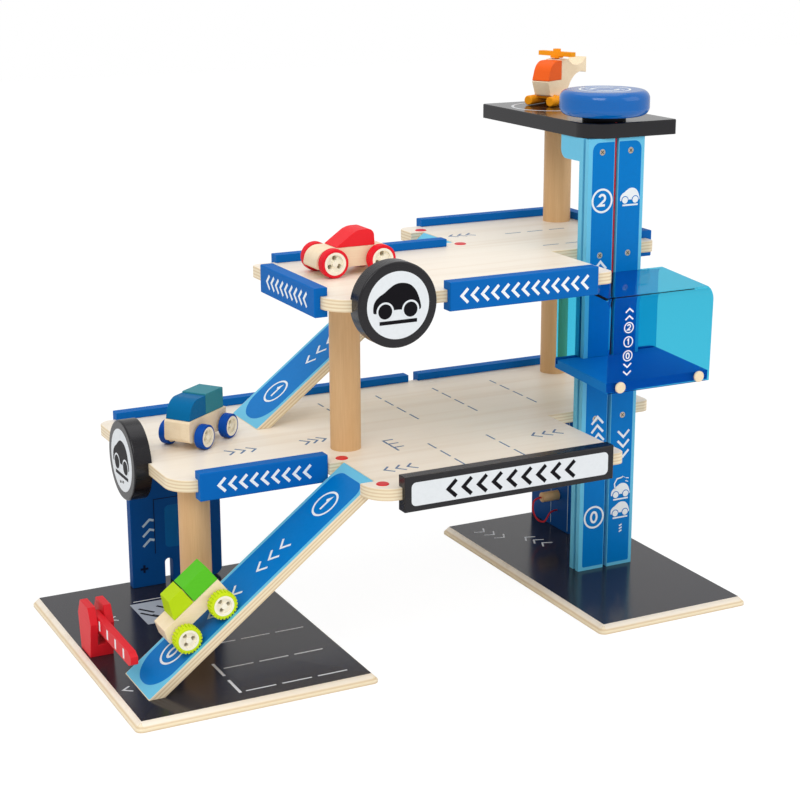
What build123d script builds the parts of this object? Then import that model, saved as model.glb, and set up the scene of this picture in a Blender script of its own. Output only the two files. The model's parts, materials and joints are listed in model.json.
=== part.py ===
from build123d import *
import math
import os

# Toy parking garage: two base plates, two decks and a roof, joined by posts and a
# slotted lift tower.  Millimetres, +Z up.  The sizes below are written in a working
# frame whose origin is the front left bottom corner of the left base plate (X to the
# right, Y to the back); export() moves every piece to the middle of the footprint.

# ---- fits and stock ----------------------------------------------------------
FIT = 0.2              # gap on each side of a glued or pushed wooden joint
PLAY = 0.1             # radial gap round a dowel, screw or peg
SHAFT_PLAY = 0.05      # radial gap round a turning shaft
BASE_T = 9.0           # base plate thickness
DECK_T = 12.0          # deck thickness
ROOF_T = 16.0          # roof thickness
WALL_T = 12.0          # upright panels under the lower deck

# ---- overall places ----------------------------------------------------------
GARAGE_W = 695.0       # left end to right end
BACK_FACE = 378.0      # front of the bases to the outer face of the back guards
LEVEL_1 = 193.0        # top face of the lower deck
LEVEL_2 = 377.0        # top face of the upper deck
LEVEL_3 = 513.0        # top face of the roof

# ---- base plates -------------------------------------------------------------
BASE_DEPTH = 356.0
BASE_LEFT_W = 250.0
BASE_RIGHT_W = 187.0
BASE_BEVEL = 6.5
BASE_CORNER = 7.0

# ---- guards and signs: C profiles pushed over a deck's edge --------------------
GUARD_WEB = 6.5
GUARD_LIP = 7.5
GUARD_H = 29.0
GUARD_EDGE = 0.8
SIGN_BOARD_H = 36.0
SIGN_R = 42.0
SIGN_FRONT_T = 15.0    # disc in front of the deck's edge
SIGN_GRIP = 3.8        # depth of the groove behind it
SIGN_EDGE = 2.0

# ---- deck outlines (corner radii beside them) ----------------------------------
DECK_BACK = BACK_FACE - GUARD_WEB - FIT
DECK_RIGHT = 675.0
DECK_EASE = 0.8
LOWER_BACK_SPLIT = 467.0   # right end of the lower deck's left back guard
LOWER_BACK_START = 479.5   # left end of its right back guard
UPPER_LEFT_SPAN = (71.0, 206.0)
UPPER_MID_START = 250.0
UPPER_BACK_START = 484.0
UPPER_RIGHT_START = 185.0
UPPER_FRONT_SPAN = (345.6, 516.0)
SIGN_BOARD_SPAN = (281.0, 520.5)
SIGN_FRONT_X = 285.0
SIGN_LEFT_Y = 242.0
CORNER_BIG = 28.0
CORNER_MID = 15.0
CORNER_SMALL = 10.0
D1_LEFT = 88.0
D1_FRONT = 13.0
D1_STEP_X = 251.0      # left edge of the part that comes forward
D1_STEP_Y = 126.0      # front edge left of it
D2_LEFT = 223.5
D2_FRONT = 43.0
D2_STEP_X = 455.0      # right of this the deck runs to the back
D2_STEP_Y = 249.5      # back edge left of it
ROOF_LEFT = 571.0
ROOF_RIGHT = 682.5
ROOF_FRONT = 146.0
ROOF_CORNER = 3.0

# ---- posts ---------------------------------------------------------------------
POST_D = 32.0
POST_FRONT_Y = 160.0
POST_LEFT_X = 120.5
POST_MID_X = 289.5
POST_REAR = (646.5, 331.0)
SPIGOT_D = 12.0
SPIGOT_L = 5.0
SPIGOT_END_GAP = 0.4

# ---- ramps ---------------------------------------------------------------------
RAMP_W = 71.0
RAMP_T = 10.0
RAMP_RUN = 240.0
RAMP_SIDE_GAP = 0.5
RAMP_BITE = 16.0       # how far the deck's notch reaches round the ramp's upper end
RAMP_1_Y = 80.5
RAMP_2_Y = 297.5
PLUG_D = 13.0
PLUG_PROUD = 0.8
PLUG_DEPTH = 8.0
PLUG_OFFSET = 11.3     # plug centre from the notch's side

# ---- lift tower ------------------------------------------------------------------
TOWER_X = 607.5
TOWER_W = 71.0
TOWER_FRONT = 148.5
BOARD_T = 6.5
CORE_T = 4.0
BACK_T = 7.5
CORD_SLOT = 5.0
GROOVE_DEPTH = 8.0
BLOCK_DEPTH = 37.5
BLOCK_H = 25.0
BLOCK_ROUND = 10.0
SCREW_SPREAD = 18.0
SCREW_D = 3.6
SCREW_HEAD_D = 7.0
SCREW_HEAD_T = 2.4
SCREW_BITE = 10.0
SCREW_TOP_DROP = 14.4

# ---- lift cabin --------------------------------------------------------------------
CABIN_W = 129.0
SHEET_T = 3.0
CABIN_GAP = 3.0        # free gap between cabin and decks
CABIN_TOP = 350.3      # middle of the bent sheet at its back bend
CABIN_FRONT_TOP = 343.2
CABIN_BOTTOM = 243.8
CABIN_FRONT_Y = 54.3
CABIN_FRONT_LEAN = 2.2
BEND_BACK = 9.0
BEND_FRONT = 11.0
FLOOR_T = 10.0
FLOOR_BACK_Z = 259.0
FLOOR_TILT = 2.6       # degrees the floor falls to the front
FLOOR_BACK_GAP = 2.5
FLOOR_ROUND = 6.0
FLANGE_SEAT = 5.0      # depth of the slits that take the sheet's back flanges
WINDOW_GAP = 1.2
PEG_HEAD_D = 12.0
PEG_HEAD_T = 2.6
PEG_D = 6.0
PEG_L = 15.0
PEG_INSET = 14.5
PEG_Z = 249.8
TONGUE_W = 3.2

# ---- knob and cord -------------------------------------------------------------------
KNOB_R = 48.5
KNOB_H = 27.0
KNOB_EDGE = 9.0
DRUM_R = 23.5
DRUM_H = 5.7
DRUM_GAP = 0.3
SPINDLE_D = 8.0
SPINDLE_L = 13.0
CORD_D = 3.0
CORD_HOLE_D = 5.0

# ---- barrier ---------------------------------------------------------------------------
BARRIER_X = 8.0
BARRIER_Y = 183.0
CHEEK_T = 8.0
CHEEK_FOOT = 30.0
CHEEK_WIDE = 43.0
CHEEK_TOP = 26.0
CHEEK_WIDE_H = 37.0
CHEEK_H = 53.0
FOOT_H = 13.0
ARM_T = 7.6
ARM_H = 15.0
ARM_REACH = 121.0
ARM_Z = 36.0           # pivot above the base
ARM_GAP = 0.4
PIN_D = 5.0

# ---- charging wall, plug and cord ----------------------------------------------------------
CHARGER_X = 628.0
CHARGER_Y0 = 259.0
CHARGER_Y1 = 347.0
CHARGER_ROUND = 3.0
SOCKET_Y = 286.0
SOCKET_Z = 51.2
PLUG_ROD_D = 12.0
PLUG_ROD_OUT = 22.5
SOCKET_DEPTH = 8.0
LEAD_D = 2.2
LEAD_BACK_Z = 32.0

# ---- service board ----------------------------------------------------------------------------
SERVICE_X0 = 107.0
SERVICE_X1 = 212.0
SERVICE_BACK = 28.0    # board's front face ahead of the base's back edge
SERVICE_ROUND = 10.0
SLOT_X = 145.0
SLOT_W = 9.0
SLOT_H = 29.0

# ---- cars: one size of wheel set each ----------------------------------------------------------
AXLE_D = 4.0
WHEEL_T = 10.0
TYRE_EDGE = 1.0
HUB_DISH = 2.5
SPOKE_HOLES = 3
WHEEL_SIDE_GAP = 1.5
WHEEL_LIFT = 0.25      # tyre above what it stands on
CHASSIS_CLEAR = 8.5    # underside of the wooden bodies above the ground
CAB_INSET = 2.0        # the coloured blocks are narrower than the bodies
RED_CAR = (298.0, 167.5)
RED_WHEEL_R = 14.8
RED_TYRE = 3.2
RED_BASE = 53.0
RED_W = 31.0
RED_NOSE = 43.5
RED_TAIL = 41.0
RED_DECK = 28.5        # top of the wooden body
RED_CANOPY_L = 42.5
RED_CANOPY_H = 16.5
BLUE_CAR = (162.5, 253.9)
BLUE_HEADING = 216.5
BLUE_WHEEL_R = 13.0
BLUE_TYRE = 2.4
BLUE_BASE = 46.2
BLUE_W = 31.0
BLUE_NOSE = 41.6
BLUE_TAIL = 30.2
BLUE_DECK = 32.0
BLUE_CAB_H = 20.3
BLUE_BOX_H = 21.8
BLUE_SPLIT = 7.0       # joint between cab and load block
GREEN_CAR_S = 89.75    # along the lower ramp from its foot
GREEN_CAR_Y = 75.7
GREEN_WHEEL_R = 14.0
GREEN_TYRE = 3.8
GREEN_BASE = 46.7
GREEN_W = 29.0
GREEN_NOSE = 38.5
GREEN_TAIL = 36.7
GREEN_FLOOR = 18.0     # underside between the axle blocks
GREEN_DECK = 34.0
GREEN_BLOCK_H = 18.0
GREEN_CAB_FRONT = 20.5
GREEN_CAB_TOP = 12.1
GREEN_SPLIT = -5.0
GREEN_SPLIT_GAP = 1.0
AXLE_BLOCK = 15.5

# helicopter
HELI = (642.4, 338.0)
HELI_HEADING = 206.0
HELI_W = 22.0
HELI_BELLY = 10.3
HELI_SEAT = 28.0       # height that the canopy sits on
HELI_TOP = 51.0
HELI_NOSE = 28.3
HELI_TAIL = 54.4
TAIL_UNDER_R = 31.8
TAIL_NOTCH_R = 24.4
TAIL_NOTCH_X = -33.5
SKID_D = 11.0
SKID_L = 60.0
SKID_SPREAD = 29.5
STRUT_D = 5.0
STRUTS = (14.0, -6.0)
ROTOR_L = 50.0
ROTOR_W = 9.0
ROTOR_T = 5.0
ROTOR_Z = 54.5
ROTOR_TURN = 82.0
MAST_D = 5.0
MAST_X = -7.0
MAST_L = 11.0
HUB_D = 15.0
CAP_D = 9.0
CAP_H = 3.0

# ---- values worked out from the sizes above ---------------------------------------------------------
GROOVE_H = DECK_T + 2 * FIT
TOWER_LEFT = TOWER_X - TOWER_W / 2
TOWER_RIGHT = TOWER_X + TOWER_W / 2
CORE_FRONT = TOWER_FRONT + BOARD_T
CORE_BACK = CORE_FRONT + CORE_T
TOWER_BACK = CORE_BACK + BACK_T
DECK_RIGHT_FRONT = TOWER_BACK + FIT
CABIN_LEFT = TOWER_X - CABIN_W / 2
CABIN_RIGHT = TOWER_X + CABIN_W / 2
SHAFT_X = CABIN_LEFT - CABIN_GAP
SHEET_BACK_Y = CORE_FRONT + CORE_T / 2
ROOF_UNDER = LEVEL_3 - ROOF_T
DECK_1_UNDER = LEVEL_1 - DECK_T
DECK_2_UNDER = LEVEL_2 - DECK_T
RAMP_RISE_1 = LEVEL_1 - BASE_T
RAMP_RISE_2 = LEVEL_2 - LEVEL_1
D1_NOTCH_X = D1_STEP_X + RAMP_BITE
D2_NOTCH_X = D2_STEP_X + RAMP_BITE
KNOB_Y = TOWER_FRONT + BOARD_T / 2 + DRUM_R - FIT
BASE_RIGHT_X = GARAGE_W - BASE_RIGHT_W
TO_CENTRE = Pos(-GARAGE_W / 2, -BACK_FACE / 2, 0)
LOW = (Align.MIN, Align.MIN, Align.MIN)
ON_END = (Align.CENTER, Align.CENTER, Align.MIN)


# ---- small helpers -------------------------------------------------------------------------------------
def block(x0, x1, y0, y1, z0, z1):
    """Square block between two corners."""
    return Pos(x0, y0, z0) * Box(x1 - x0, y1 - y0, z1 - z0, align=LOW)


def rod(diameter, length, start, turn=(0, 0, 0)):
    """Round rod from a start point; turned from +Z."""
    return Location(start, turn) * Cylinder(diameter / 2, length, align=ON_END)


def rod_x(diameter, x0, x1, y, z):
    return rod(diameter, x1 - x0, (x0, y, z), (0, 90, 0))


def rod_y(diameter, y0, y1, x, z):
    return rod(diameter, y1 - y0, (x, y0, z), (-90, 0, 0))


def outline(corners):
    """Flat face through (x, y, radius) corners."""
    face = make_face(Polyline(*[(x, y) for x, y, r in corners], close=True))
    for x, y, r in corners:
        if r > 0:
            spot = face.vertices().sort_by_distance((x, y, 0))[0]
            face = fillet(spot, r)
    return face


def side_profile(points, width):
    """Solid from (along, up) points, drawn in the XZ plane and centred on Y."""
    face = make_face(Polyline(*points, close=True))
    return extrude(Plane.XZ * face, amount=width / 2, both=True)


def screw_places():
    """X and Z of the tower's screws, and the Y where each row's bite ends."""
    rows = [
        (DECK_1_UNDER + DECK_T / 2, DECK_RIGHT_FRONT + SCREW_BITE),
        (DECK_2_UNDER + DECK_T / 2, DECK_RIGHT_FRONT + SCREW_BITE),
        (ROOF_UNDER - SCREW_TOP_DROP, TOWER_BACK + SCREW_BITE),
    ]
    return [(TOWER_X + side * SCREW_SPREAD, z, end) for z, end in rows for side in (-1, 1)]


def screw_holes(solid):
    for x, z, end in screw_places():
        solid -= rod_y(SCREW_D + 2 * PLAY, TOWER_FRONT - 1, end + PLAY, x, z)
        solid -= rod_y(SCREW_HEAD_D + 2 * PLAY, TOWER_FRONT - 1, TOWER_FRONT + SCREW_HEAD_T + PLAY, x, z)
    return solid


def spigot_hole(solid, at, z, up):
    """Blind hole for a post's spigot: up into an under face, or down from a top face."""
    depth = SPIGOT_L + SPIGOT_END_GAP
    low = z if up else z - depth
    return solid - rod(SPIGOT_D + 2 * PLAY, depth, (at[0], at[1], low))


# ---- plates ----------------------------------------------------------------------------------------------
def base_plate(x, width):
    plate = Pos(x + width / 2, BASE_DEPTH / 2) * extrude(
        RectangleRounded(width, BASE_DEPTH, BASE_CORNER), amount=BASE_T)
    return chamfer(plate.edges().group_by(Axis.Z)[-1], BASE_BEVEL)


def base_left():
    return spigot_hole(base_plate(0, BASE_LEFT_W), (POST_LEFT_X, POST_FRONT_Y), BASE_T, False)


def ramp_notch(step_x, ramp_y, under):
    half = RAMP_W / 2 + RAMP_SIDE_GAP
    return block(step_x - 1, step_x + RAMP_BITE, ramp_y - half, ramp_y + half, under - 1, under + DECK_T + 1)


def plug_places():
    half = RAMP_W / 2 + RAMP_SIDE_GAP + PLUG_OFFSET
    first = [(D1_NOTCH_X + 3, RAMP_1_Y + side * half, LEVEL_1) for side in (-1, 1)]
    second = [(D2_NOTCH_X + 2, RAMP_2_Y + side * half, LEVEL_2) for side in (-1, 1)]
    return first + second


def deck_finish(face, under, step_x, ramp_y):
    deck = Pos(0, 0, under) * extrude(face, amount=DECK_T)
    deck = chamfer(deck.edges().group_by(Axis.Z)[-1], DECK_EASE)
    deck -= ramp_notch(step_x, ramp_y, under)
    for x, y, z in plug_places():
        if z == under + DECK_T:
            deck -= rod(PLUG_D + 2 * PLAY, PLUG_DEPTH + FIT, (x, y, z - PLUG_DEPTH - FIT))
    return screw_holes(deck)


def deck_lower():
    face = outline([
        (D1_LEFT, D1_STEP_Y, CORNER_BIG),
        (D1_STEP_X, D1_STEP_Y, 0),
        (D1_STEP_X, D1_FRONT, CORNER_BIG),
        (SHAFT_X, D1_FRONT, CORNER_SMALL),
        (SHAFT_X, DECK_RIGHT_FRONT, 0),
        (DECK_RIGHT, DECK_RIGHT_FRONT, CORNER_SMALL),
        (DECK_RIGHT, DECK_BACK, CORNER_MID),
        (D1_LEFT, DECK_BACK, CORNER_MID),
    ])
    deck = deck_finish(face, DECK_1_UNDER, D1_STEP_X, RAMP_1_Y)
    deck = spigot_hole(deck, (POST_LEFT_X, POST_FRONT_Y), DECK_1_UNDER, True)
    deck = spigot_hole(deck, (POST_MID_X, POST_FRONT_Y), LEVEL_1, False)
    return spigot_hole(deck, POST_REAR, LEVEL_1, False)


def deck_upper():
    face = outline([
        (D2_LEFT, D2_FRONT, CORNER_BIG),
        (SHAFT_X, D2_FRONT, CORNER_SMALL),
        (SHAFT_X, DECK_RIGHT_FRONT, 0),
        (DECK_RIGHT, DECK_RIGHT_FRONT, CORNER_SMALL),
        (DECK_RIGHT, DECK_BACK, CORNER_MID),
        (D2_STEP_X, DECK_BACK, CORNER_MID),
        (D2_STEP_X, D2_STEP_Y, 0),
        (D2_LEFT, D2_STEP_Y, CORNER_SMALL),
    ])
    deck = deck_finish(face, DECK_2_UNDER, D2_STEP_X, RAMP_2_Y)
    deck = spigot_hole(deck, (POST_MID_X, POST_FRONT_Y), DECK_2_UNDER, True)
    deck = spigot_hole(deck, POST_REAR, DECK_2_UNDER, True)
    return spigot_hole(deck, POST_REAR, LEVEL_2, False)


def roof():
    face = outline([
        (ROOF_LEFT, ROOF_FRONT, CORNER_BIG),
        (ROOF_RIGHT, ROOF_FRONT, ROOF_CORNER),
        (ROOF_RIGHT, BACK_FACE, ROOF_CORNER),
        (ROOF_LEFT, BACK_FACE, ROOF_CORNER),
    ])
    plate = Pos(0, 0, ROOF_UNDER) * extrude(face, amount=ROOF_T)
    plate = chamfer(plate.edges().group_by(Axis.Z)[-1], DECK_EASE)
    plate -= rod(SPINDLE_D + 2 * SHAFT_PLAY, SPINDLE_L + 1, (TOWER_X, KNOB_Y, LEVEL_3 - SPINDLE_L))
    plate -= rod(CORD_HOLE_D, ROOF_T + 2, (TOWER_X, TOWER_FRONT + BOARD_T / 2, ROOF_UNDER - 1))
    return spigot_hole(plate, POST_REAR, ROOF_UNDER, True)


def post(at, z0, z1):
    shank = rod(POST_D, z1 - z0, (at[0], at[1], z0))
    return shank + rod(SPIGOT_D, z1 - z0 + 2 * SPIGOT_L, (at[0], at[1], z0 - SPIGOT_L))


# ---- guards and signs ---------------------------------------------------------------------------------------
def c_profile(length, height):
    """Grooved strip: outer face at y=0, groove opening to +Y, deck mid height at z=0."""
    depth = GUARD_WEB + GUARD_LIP
    strip = block(0, length, 0, depth, -height / 2, height / 2)
    strip = chamfer(strip.faces().sort_by(Axis.Y)[0].edges(), GUARD_EDGE)
    return strip - block(-1, length + 1, GUARD_WEB, depth + 1, -GROOVE_H / 2, GROOVE_H / 2)


def edge_guard(side, start, end, edge, level, height=GUARD_H):
    """Guard along one side of a deck, its groove bottom a fit away from the edge."""
    strip = c_profile(end - start, height)
    z = level - DECK_T / 2
    out = GUARD_WEB + FIT
    spots = {
        "front": ((start, edge - out, z), 0),
        "back": ((end, edge + out, z), 180),
        "left": ((edge - out, end, z), -90),
        "right": ((edge + out, start, z), 90),
    }
    spot, turn = spots[side]
    return Location(spot, (0, 0, turn)) * strip


def sign_disc():
    """Round sign facing -Y with a straight groove across its back."""
    thick = SIGN_FRONT_T + SIGN_GRIP
    disc = Location((0, -SIGN_FRONT_T, 0), (-90, 0, 0)) * Cylinder(SIGN_R, thick, align=ON_END)
    disc = fillet(disc.faces().sort_by(Axis.Y)[0].edges(), SIGN_EDGE)
    return disc - block(-SIGN_R - 1, SIGN_R + 1, -FIT, SIGN_GRIP + 1, -GROOVE_H / 2, GROOVE_H / 2)


# ---- ramps ------------------------------------------------------------------------------------------------------
def ramp(x, y, z, rise):
    slope = math.atan2(rise, RAMP_RUN)
    foot = RAMP_T / math.sin(slope)
    drop = RAMP_T / math.cos(slope)
    end = RAMP_RUN - FIT
    top = rise - FIT * math.tan(slope)
    points = [(0, 0), (foot, 0), (end, top - drop), (end, top)]
    return Pos(x, y, z) * side_profile(points, RAMP_W)


def ramp_plugs():
    plugs = []
    for x, y, z in plug_places():
        plug = rod(PLUG_D, PLUG_DEPTH + PLUG_PROUD, (x, y, z - PLUG_DEPTH))
        plugs.append(chamfer(plug.faces().sort_by(Axis.Z)[-1].edges(), PLUG_PROUD * 0.8))
    return plugs


# ---- tower ---------------------------------------------------------------------------------------------------------
def tower_board(side):
    near = TOWER_X + side * CORD_SLOT / 2
    far = TOWER_X + side * TOWER_W / 2
    board = block(min(near, far), max(near, far), TOWER_FRONT, CORE_FRONT, BASE_T, ROOF_UNDER)
    return screw_holes(board)


def tower_core():
    core = block(TOWER_LEFT + GROOVE_DEPTH, TOWER_RIGHT - GROOVE_DEPTH, CORE_FRONT, CORE_BACK, BASE_T, ROOF_UNDER)
    return screw_holes(core)


def tower_back():
    board = block(TOWER_LEFT, TOWER_RIGHT, CORE_BACK, TOWER_BACK, BASE_T, ROOF_UNDER)
    head = block(TOWER_LEFT, TOWER_RIGHT, TOWER_BACK, TOWER_BACK + BLOCK_DEPTH, ROOF_UNDER - BLOCK_H, ROOF_UNDER)
    lower_back = head.edges().filter_by(Axis.X).sort_by(lambda e: e.center().Z - e.center().Y)[0]
    return screw_holes(board + fillet(lower_back, BLOCK_ROUND))


def screws():
    group = []
    for x, z, end in screw_places():
        head = rod_y(SCREW_HEAD_D, TOWER_FRONT, TOWER_FRONT + SCREW_HEAD_T, x, z)
        group.append(head + rod_y(SCREW_D, TOWER_FRONT, end, x, z))
    return group


# ---- lift ------------------------------------------------------------------------------------------------------------
def floor_frame():
    """Frame on the floor's top face at its back edge, tilted down to the front."""
    return Location((TOWER_X, DECK_RIGHT_FRONT - FLOOR_BACK_GAP, FLOOR_BACK_Z), (FLOOR_TILT, 0, 0))


def floor_top(y):
    back = DECK_RIGHT_FRONT - FLOOR_BACK_GAP
    return FLOOR_BACK_Z - (back - y) * math.tan(math.radians(FLOOR_TILT))


def sheet_front(z):
    """Y of the leaning front's outer face at height z."""
    fall = (CABIN_FRONT_TOP - z) / (CABIN_FRONT_TOP - CABIN_BOTTOM)
    return CABIN_FRONT_Y + CABIN_FRONT_LEAN * fall - SHEET_T / 2


def peg_places():
    return [(x, PEG_Z) for x in (CABIN_LEFT + PEG_INSET, CABIN_RIGHT - PEG_INSET)]


def cabin_sheet():
    """Clear sheet bent over the car: two back flanges, a sloping top and a front."""
    low_back = floor_top(SHEET_BACK_Y) - FLANGE_SEAT
    path = FilletPolyline(
        (0, SHEET_BACK_Y, low_back),
        (0, SHEET_BACK_Y, CABIN_TOP),
        (0, CABIN_FRONT_Y, CABIN_FRONT_TOP),
        (0, CABIN_FRONT_Y + CABIN_FRONT_LEAN, CABIN_BOTTOM),
        radius=[BEND_BACK, BEND_FRONT],
    )
    section = Location((0, SHEET_BACK_Y, low_back)) * Rectangle(CABIN_W, SHEET_T)
    sheet = Pos(TOWER_X, 0, 0) * sweep(section, path=path)
    gap = WINDOW_GAP
    sheet -= block(TOWER_LEFT - gap, TOWER_RIGHT + gap, TOWER_FRONT - gap, CORE_FRONT + FIT, 0, LEVEL_3)
    sheet -= block(TOWER_LEFT + GROOVE_DEPTH - FIT, TOWER_RIGHT - GROOVE_DEPTH + FIT,
                   TOWER_FRONT, TOWER_BACK + gap, 0, LEVEL_3)
    for x, z in peg_places():
        sheet -= rod_y(PEG_D + 2 * PLAY, CABIN_FRONT_Y - 5, CABIN_FRONT_Y + 10, x, z)
    return sheet


def cabin_floor():
    """Wooden floor between the sheet's front and its flanges, notched for the tower."""
    back = DECK_RIGHT_FRONT - FLOOR_BACK_GAP
    depth = back - (CABIN_FRONT_Y + CABIN_FRONT_LEAN + SHEET_T / 2 + 2 * FIT)
    half = CABIN_W / 2
    face = outline([(-half, 0, FLOOR_ROUND), (-half, -depth, 0), (half, -depth, 0), (half, 0, FLOOR_ROUND)])
    board = floor_frame() * (Pos(0, 0, -FLOOR_T) * extrude(face, amount=FLOOR_T))
    gap = WINDOW_GAP
    board -= block(TOWER_LEFT - gap, TOWER_RIGHT + gap, TOWER_FRONT - gap, TOWER_BACK + gap, 0, LEVEL_3)
    slit = SHEET_T / 2 + FIT
    low = floor_top(SHEET_BACK_Y) - FLANGE_SEAT - FIT
    board -= block(CABIN_LEFT - 1, CABIN_RIGHT + 1, SHEET_BACK_Y - slit, SHEET_BACK_Y + slit, low, LEVEL_3)
    for x, z in peg_places():
        board -= rod_y(PEG_D + 2 * PLAY, CABIN_FRONT_Y, CABIN_FRONT_Y + PEG_L + 2, x, z)
    tongue_z = floor_top(TOWER_FRONT - gap)
    tongue = block(TOWER_X - TONGUE_W / 2, TOWER_X + TONGUE_W / 2, TOWER_FRONT - gap - 1,
                   CORE_FRONT - gap, tongue_z - FLOOR_T + 1, tongue_z)
    return board + tongue


def cabin_pegs():
    group = []
    front = sheet_front(PEG_Z + PEG_HEAD_D / 2)
    for x, z in peg_places():
        head = rod_y(PEG_HEAD_D, front - PEG_HEAD_T - FIT, front - FIT, x, z)
        head = fillet(head.faces().sort_by(Axis.Y)[0].edges(), PEG_HEAD_T * 0.4)
        group.append(head + rod_y(PEG_D, front - FIT - 1, CABIN_FRONT_Y + PEG_L, x, z))
    return group


def lift_cord():
    low = floor_top(TOWER_FRONT - WINDOW_GAP) + FIT
    return rod(CORD_D, LEVEL_3 - low, (TOWER_X, TOWER_FRONT + BOARD_T / 2, low))


def knob():
    z = LEVEL_3 + DRUM_GAP + DRUM_H
    disc = rod(2 * KNOB_R, KNOB_H, (TOWER_X, KNOB_Y, z))
    return fillet(disc.edges().filter_by(GeomType.CIRCLE), KNOB_EDGE)


def knob_spindle():
    drum = rod(2 * DRUM_R, DRUM_H, (TOWER_X, KNOB_Y, LEVEL_3 + DRUM_GAP))
    return drum + rod(SPINDLE_D, SPINDLE_L, (TOWER_X, KNOB_Y, LEVEL_3 + DRUM_GAP - SPINDLE_L + FIT))


# ---- barrier ------------------------------------------------------------------------------------------------------------
def barrier_base():
    """Two eight-sided cheeks on one foot, with the arm's slot between them."""
    points = [
        (-CHEEK_FOOT / 2, 0), (CHEEK_FOOT / 2, 0),
        (CHEEK_WIDE / 2, CHEEK_WIDE_H), (CHEEK_TOP / 2, CHEEK_H),
        (-CHEEK_TOP / 2, CHEEK_H), (-CHEEK_WIDE / 2, CHEEK_WIDE_H),
    ]
    slot = ARM_T + 2 * ARM_GAP
    width = 2 * CHEEK_T + slot
    body = extrude(Plane.YZ * make_face(Polyline(*points, close=True)), amount=width)
    body -= block(CHEEK_T, CHEEK_T + slot, -CHEEK_WIDE, CHEEK_WIDE, FOOT_H, CHEEK_H + 1)
    body -= rod_x(PIN_D + 2 * SHAFT_PLAY, 1.5, width - 1.5, 0, ARM_Z)
    return Pos(BARRIER_X, BARRIER_Y, BASE_T) * body


def barrier_arm():
    """Arm lying along -Y, its tip cut to a blunt point, turning on its own pin."""
    half = ARM_H / 2
    points = [
        (0, -half), (0, half), (-ARM_REACH + half, half), (-ARM_REACH, half / 2),
        (-ARM_REACH, -half / 2), (-ARM_REACH + half, -half),
    ]
    x = CHEEK_T + ARM_GAP
    arm = extrude(Plane.YZ * make_face(Polyline(*points, close=True)), amount=ARM_T)
    arm = Pos(x, 0, 0) * arm + rod_x(ARM_H, x, x + ARM_T, 0, 0)
    pin = rod_x(PIN_D, 1.5 + PLAY, 2 * CHEEK_T + ARM_T + 2 * ARM_GAP - 1.5 - PLAY, 0, 0)
    return Pos(BARRIER_X, BARRIER_Y, BASE_T + ARM_Z) * (arm + pin)


# ---- charging wall --------------------------------------------------------------------------------------------------------
def charger_wall():
    wall = block(CHARGER_X, CHARGER_X + WALL_T, CHARGER_Y0, CHARGER_Y1, BASE_T, DECK_1_UNDER)
    wall = fillet(wall.edges().filter_by(Axis.Z), CHARGER_ROUND)
    return wall - rod_x(PLUG_ROD_D + 2 * PLAY, CHARGER_X - 1, CHARGER_X + SOCKET_DEPTH, SOCKET_Y, SOCKET_Z)


def charger_plug():
    end = CHARGER_X + SOCKET_DEPTH - FIT
    rod_end = rod_x(PLUG_ROD_D, CHARGER_X - PLUG_ROD_OUT, end, SOCKET_Y, SOCKET_Z)
    return chamfer(rod_end.faces().sort_by(Axis.X)[0].edges(), 1.0)


def arc_radii(points):
    """Radius at each inner point: 0.45 of the shorter run over tan(half the turn)."""
    radii = []
    for a, b, c in zip(points, points[1:], points[2:]):
        one = Vector(*b) - Vector(*a)
        two = Vector(*c) - Vector(*b)
        turn = math.radians(one.get_angle(two))
        radii.append(0.45 * min(one.length, two.length) / math.tan(turn / 2))
    return radii


def charger_cord():
    """Limp lead from the plug's outer end, hanging in a loop, back into the wall."""
    x0 = CHARGER_X - PLUG_ROD_OUT
    y = SOCKET_Y
    points = [
        (x0, y, SOCKET_Z),
        (x0 - 9, y, SOCKET_Z),
        (x0 - 15, y - 4.5, SOCKET_Z - 7),
        (x0 - 15, y - 8.5, SOCKET_Z - 17),
        (x0 - 9.5, y - 11, LEAD_BACK_Z - 6),
        (x0 - 0.5, y - 9.5, LEAD_BACK_Z - 9),
        (x0 + 7, y - 4.5, LEAD_BACK_Z - 4.5),
        (CHARGER_X - 8, y, LEAD_BACK_Z),
        (CHARGER_X, y, LEAD_BACK_Z),
    ]
    radii = arc_radii(points)
    print("lead radii", [round(r, 1) for r in radii])
    path = FilletPolyline(*points, radius=radii)
    start = Plane(origin=points[0], z_dir=path % 0)
    lead = sweep(start * Circle(LEAD_D / 2), path=path)
    print("lead volume", lead.volume, "section times length", math.pi * LEAD_D ** 2 / 4 * path.length)
    return lead


# ---- service board -----------------------------------------------------------------------------------------------------------
def service_board():
    """Upright board under the lower deck with a tall slot open to the base."""
    width = SERVICE_X1 - SERVICE_X0
    height = DECK_1_UNDER - BASE_T
    face = outline([(0, 0, 0), (width, 0, SERVICE_ROUND), (width, height, 0), (0, height, 0)])
    slot = outline([
        (SLOT_X - SERVICE_X0, -1, 0), (SLOT_X - SERVICE_X0 + SLOT_W, -1, 0),
        (SLOT_X - SERVICE_X0 + SLOT_W, SLOT_H, SLOT_W / 2 - 0.1), (SLOT_X - SERVICE_X0, SLOT_H, SLOT_W / 2 - 0.1),
    ])
    board = extrude(Plane.XZ * (face - slot), amount=-WALL_T)
    return Pos(SERVICE_X0, BASE_DEPTH - SERVICE_BACK, BASE_T) * board


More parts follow.
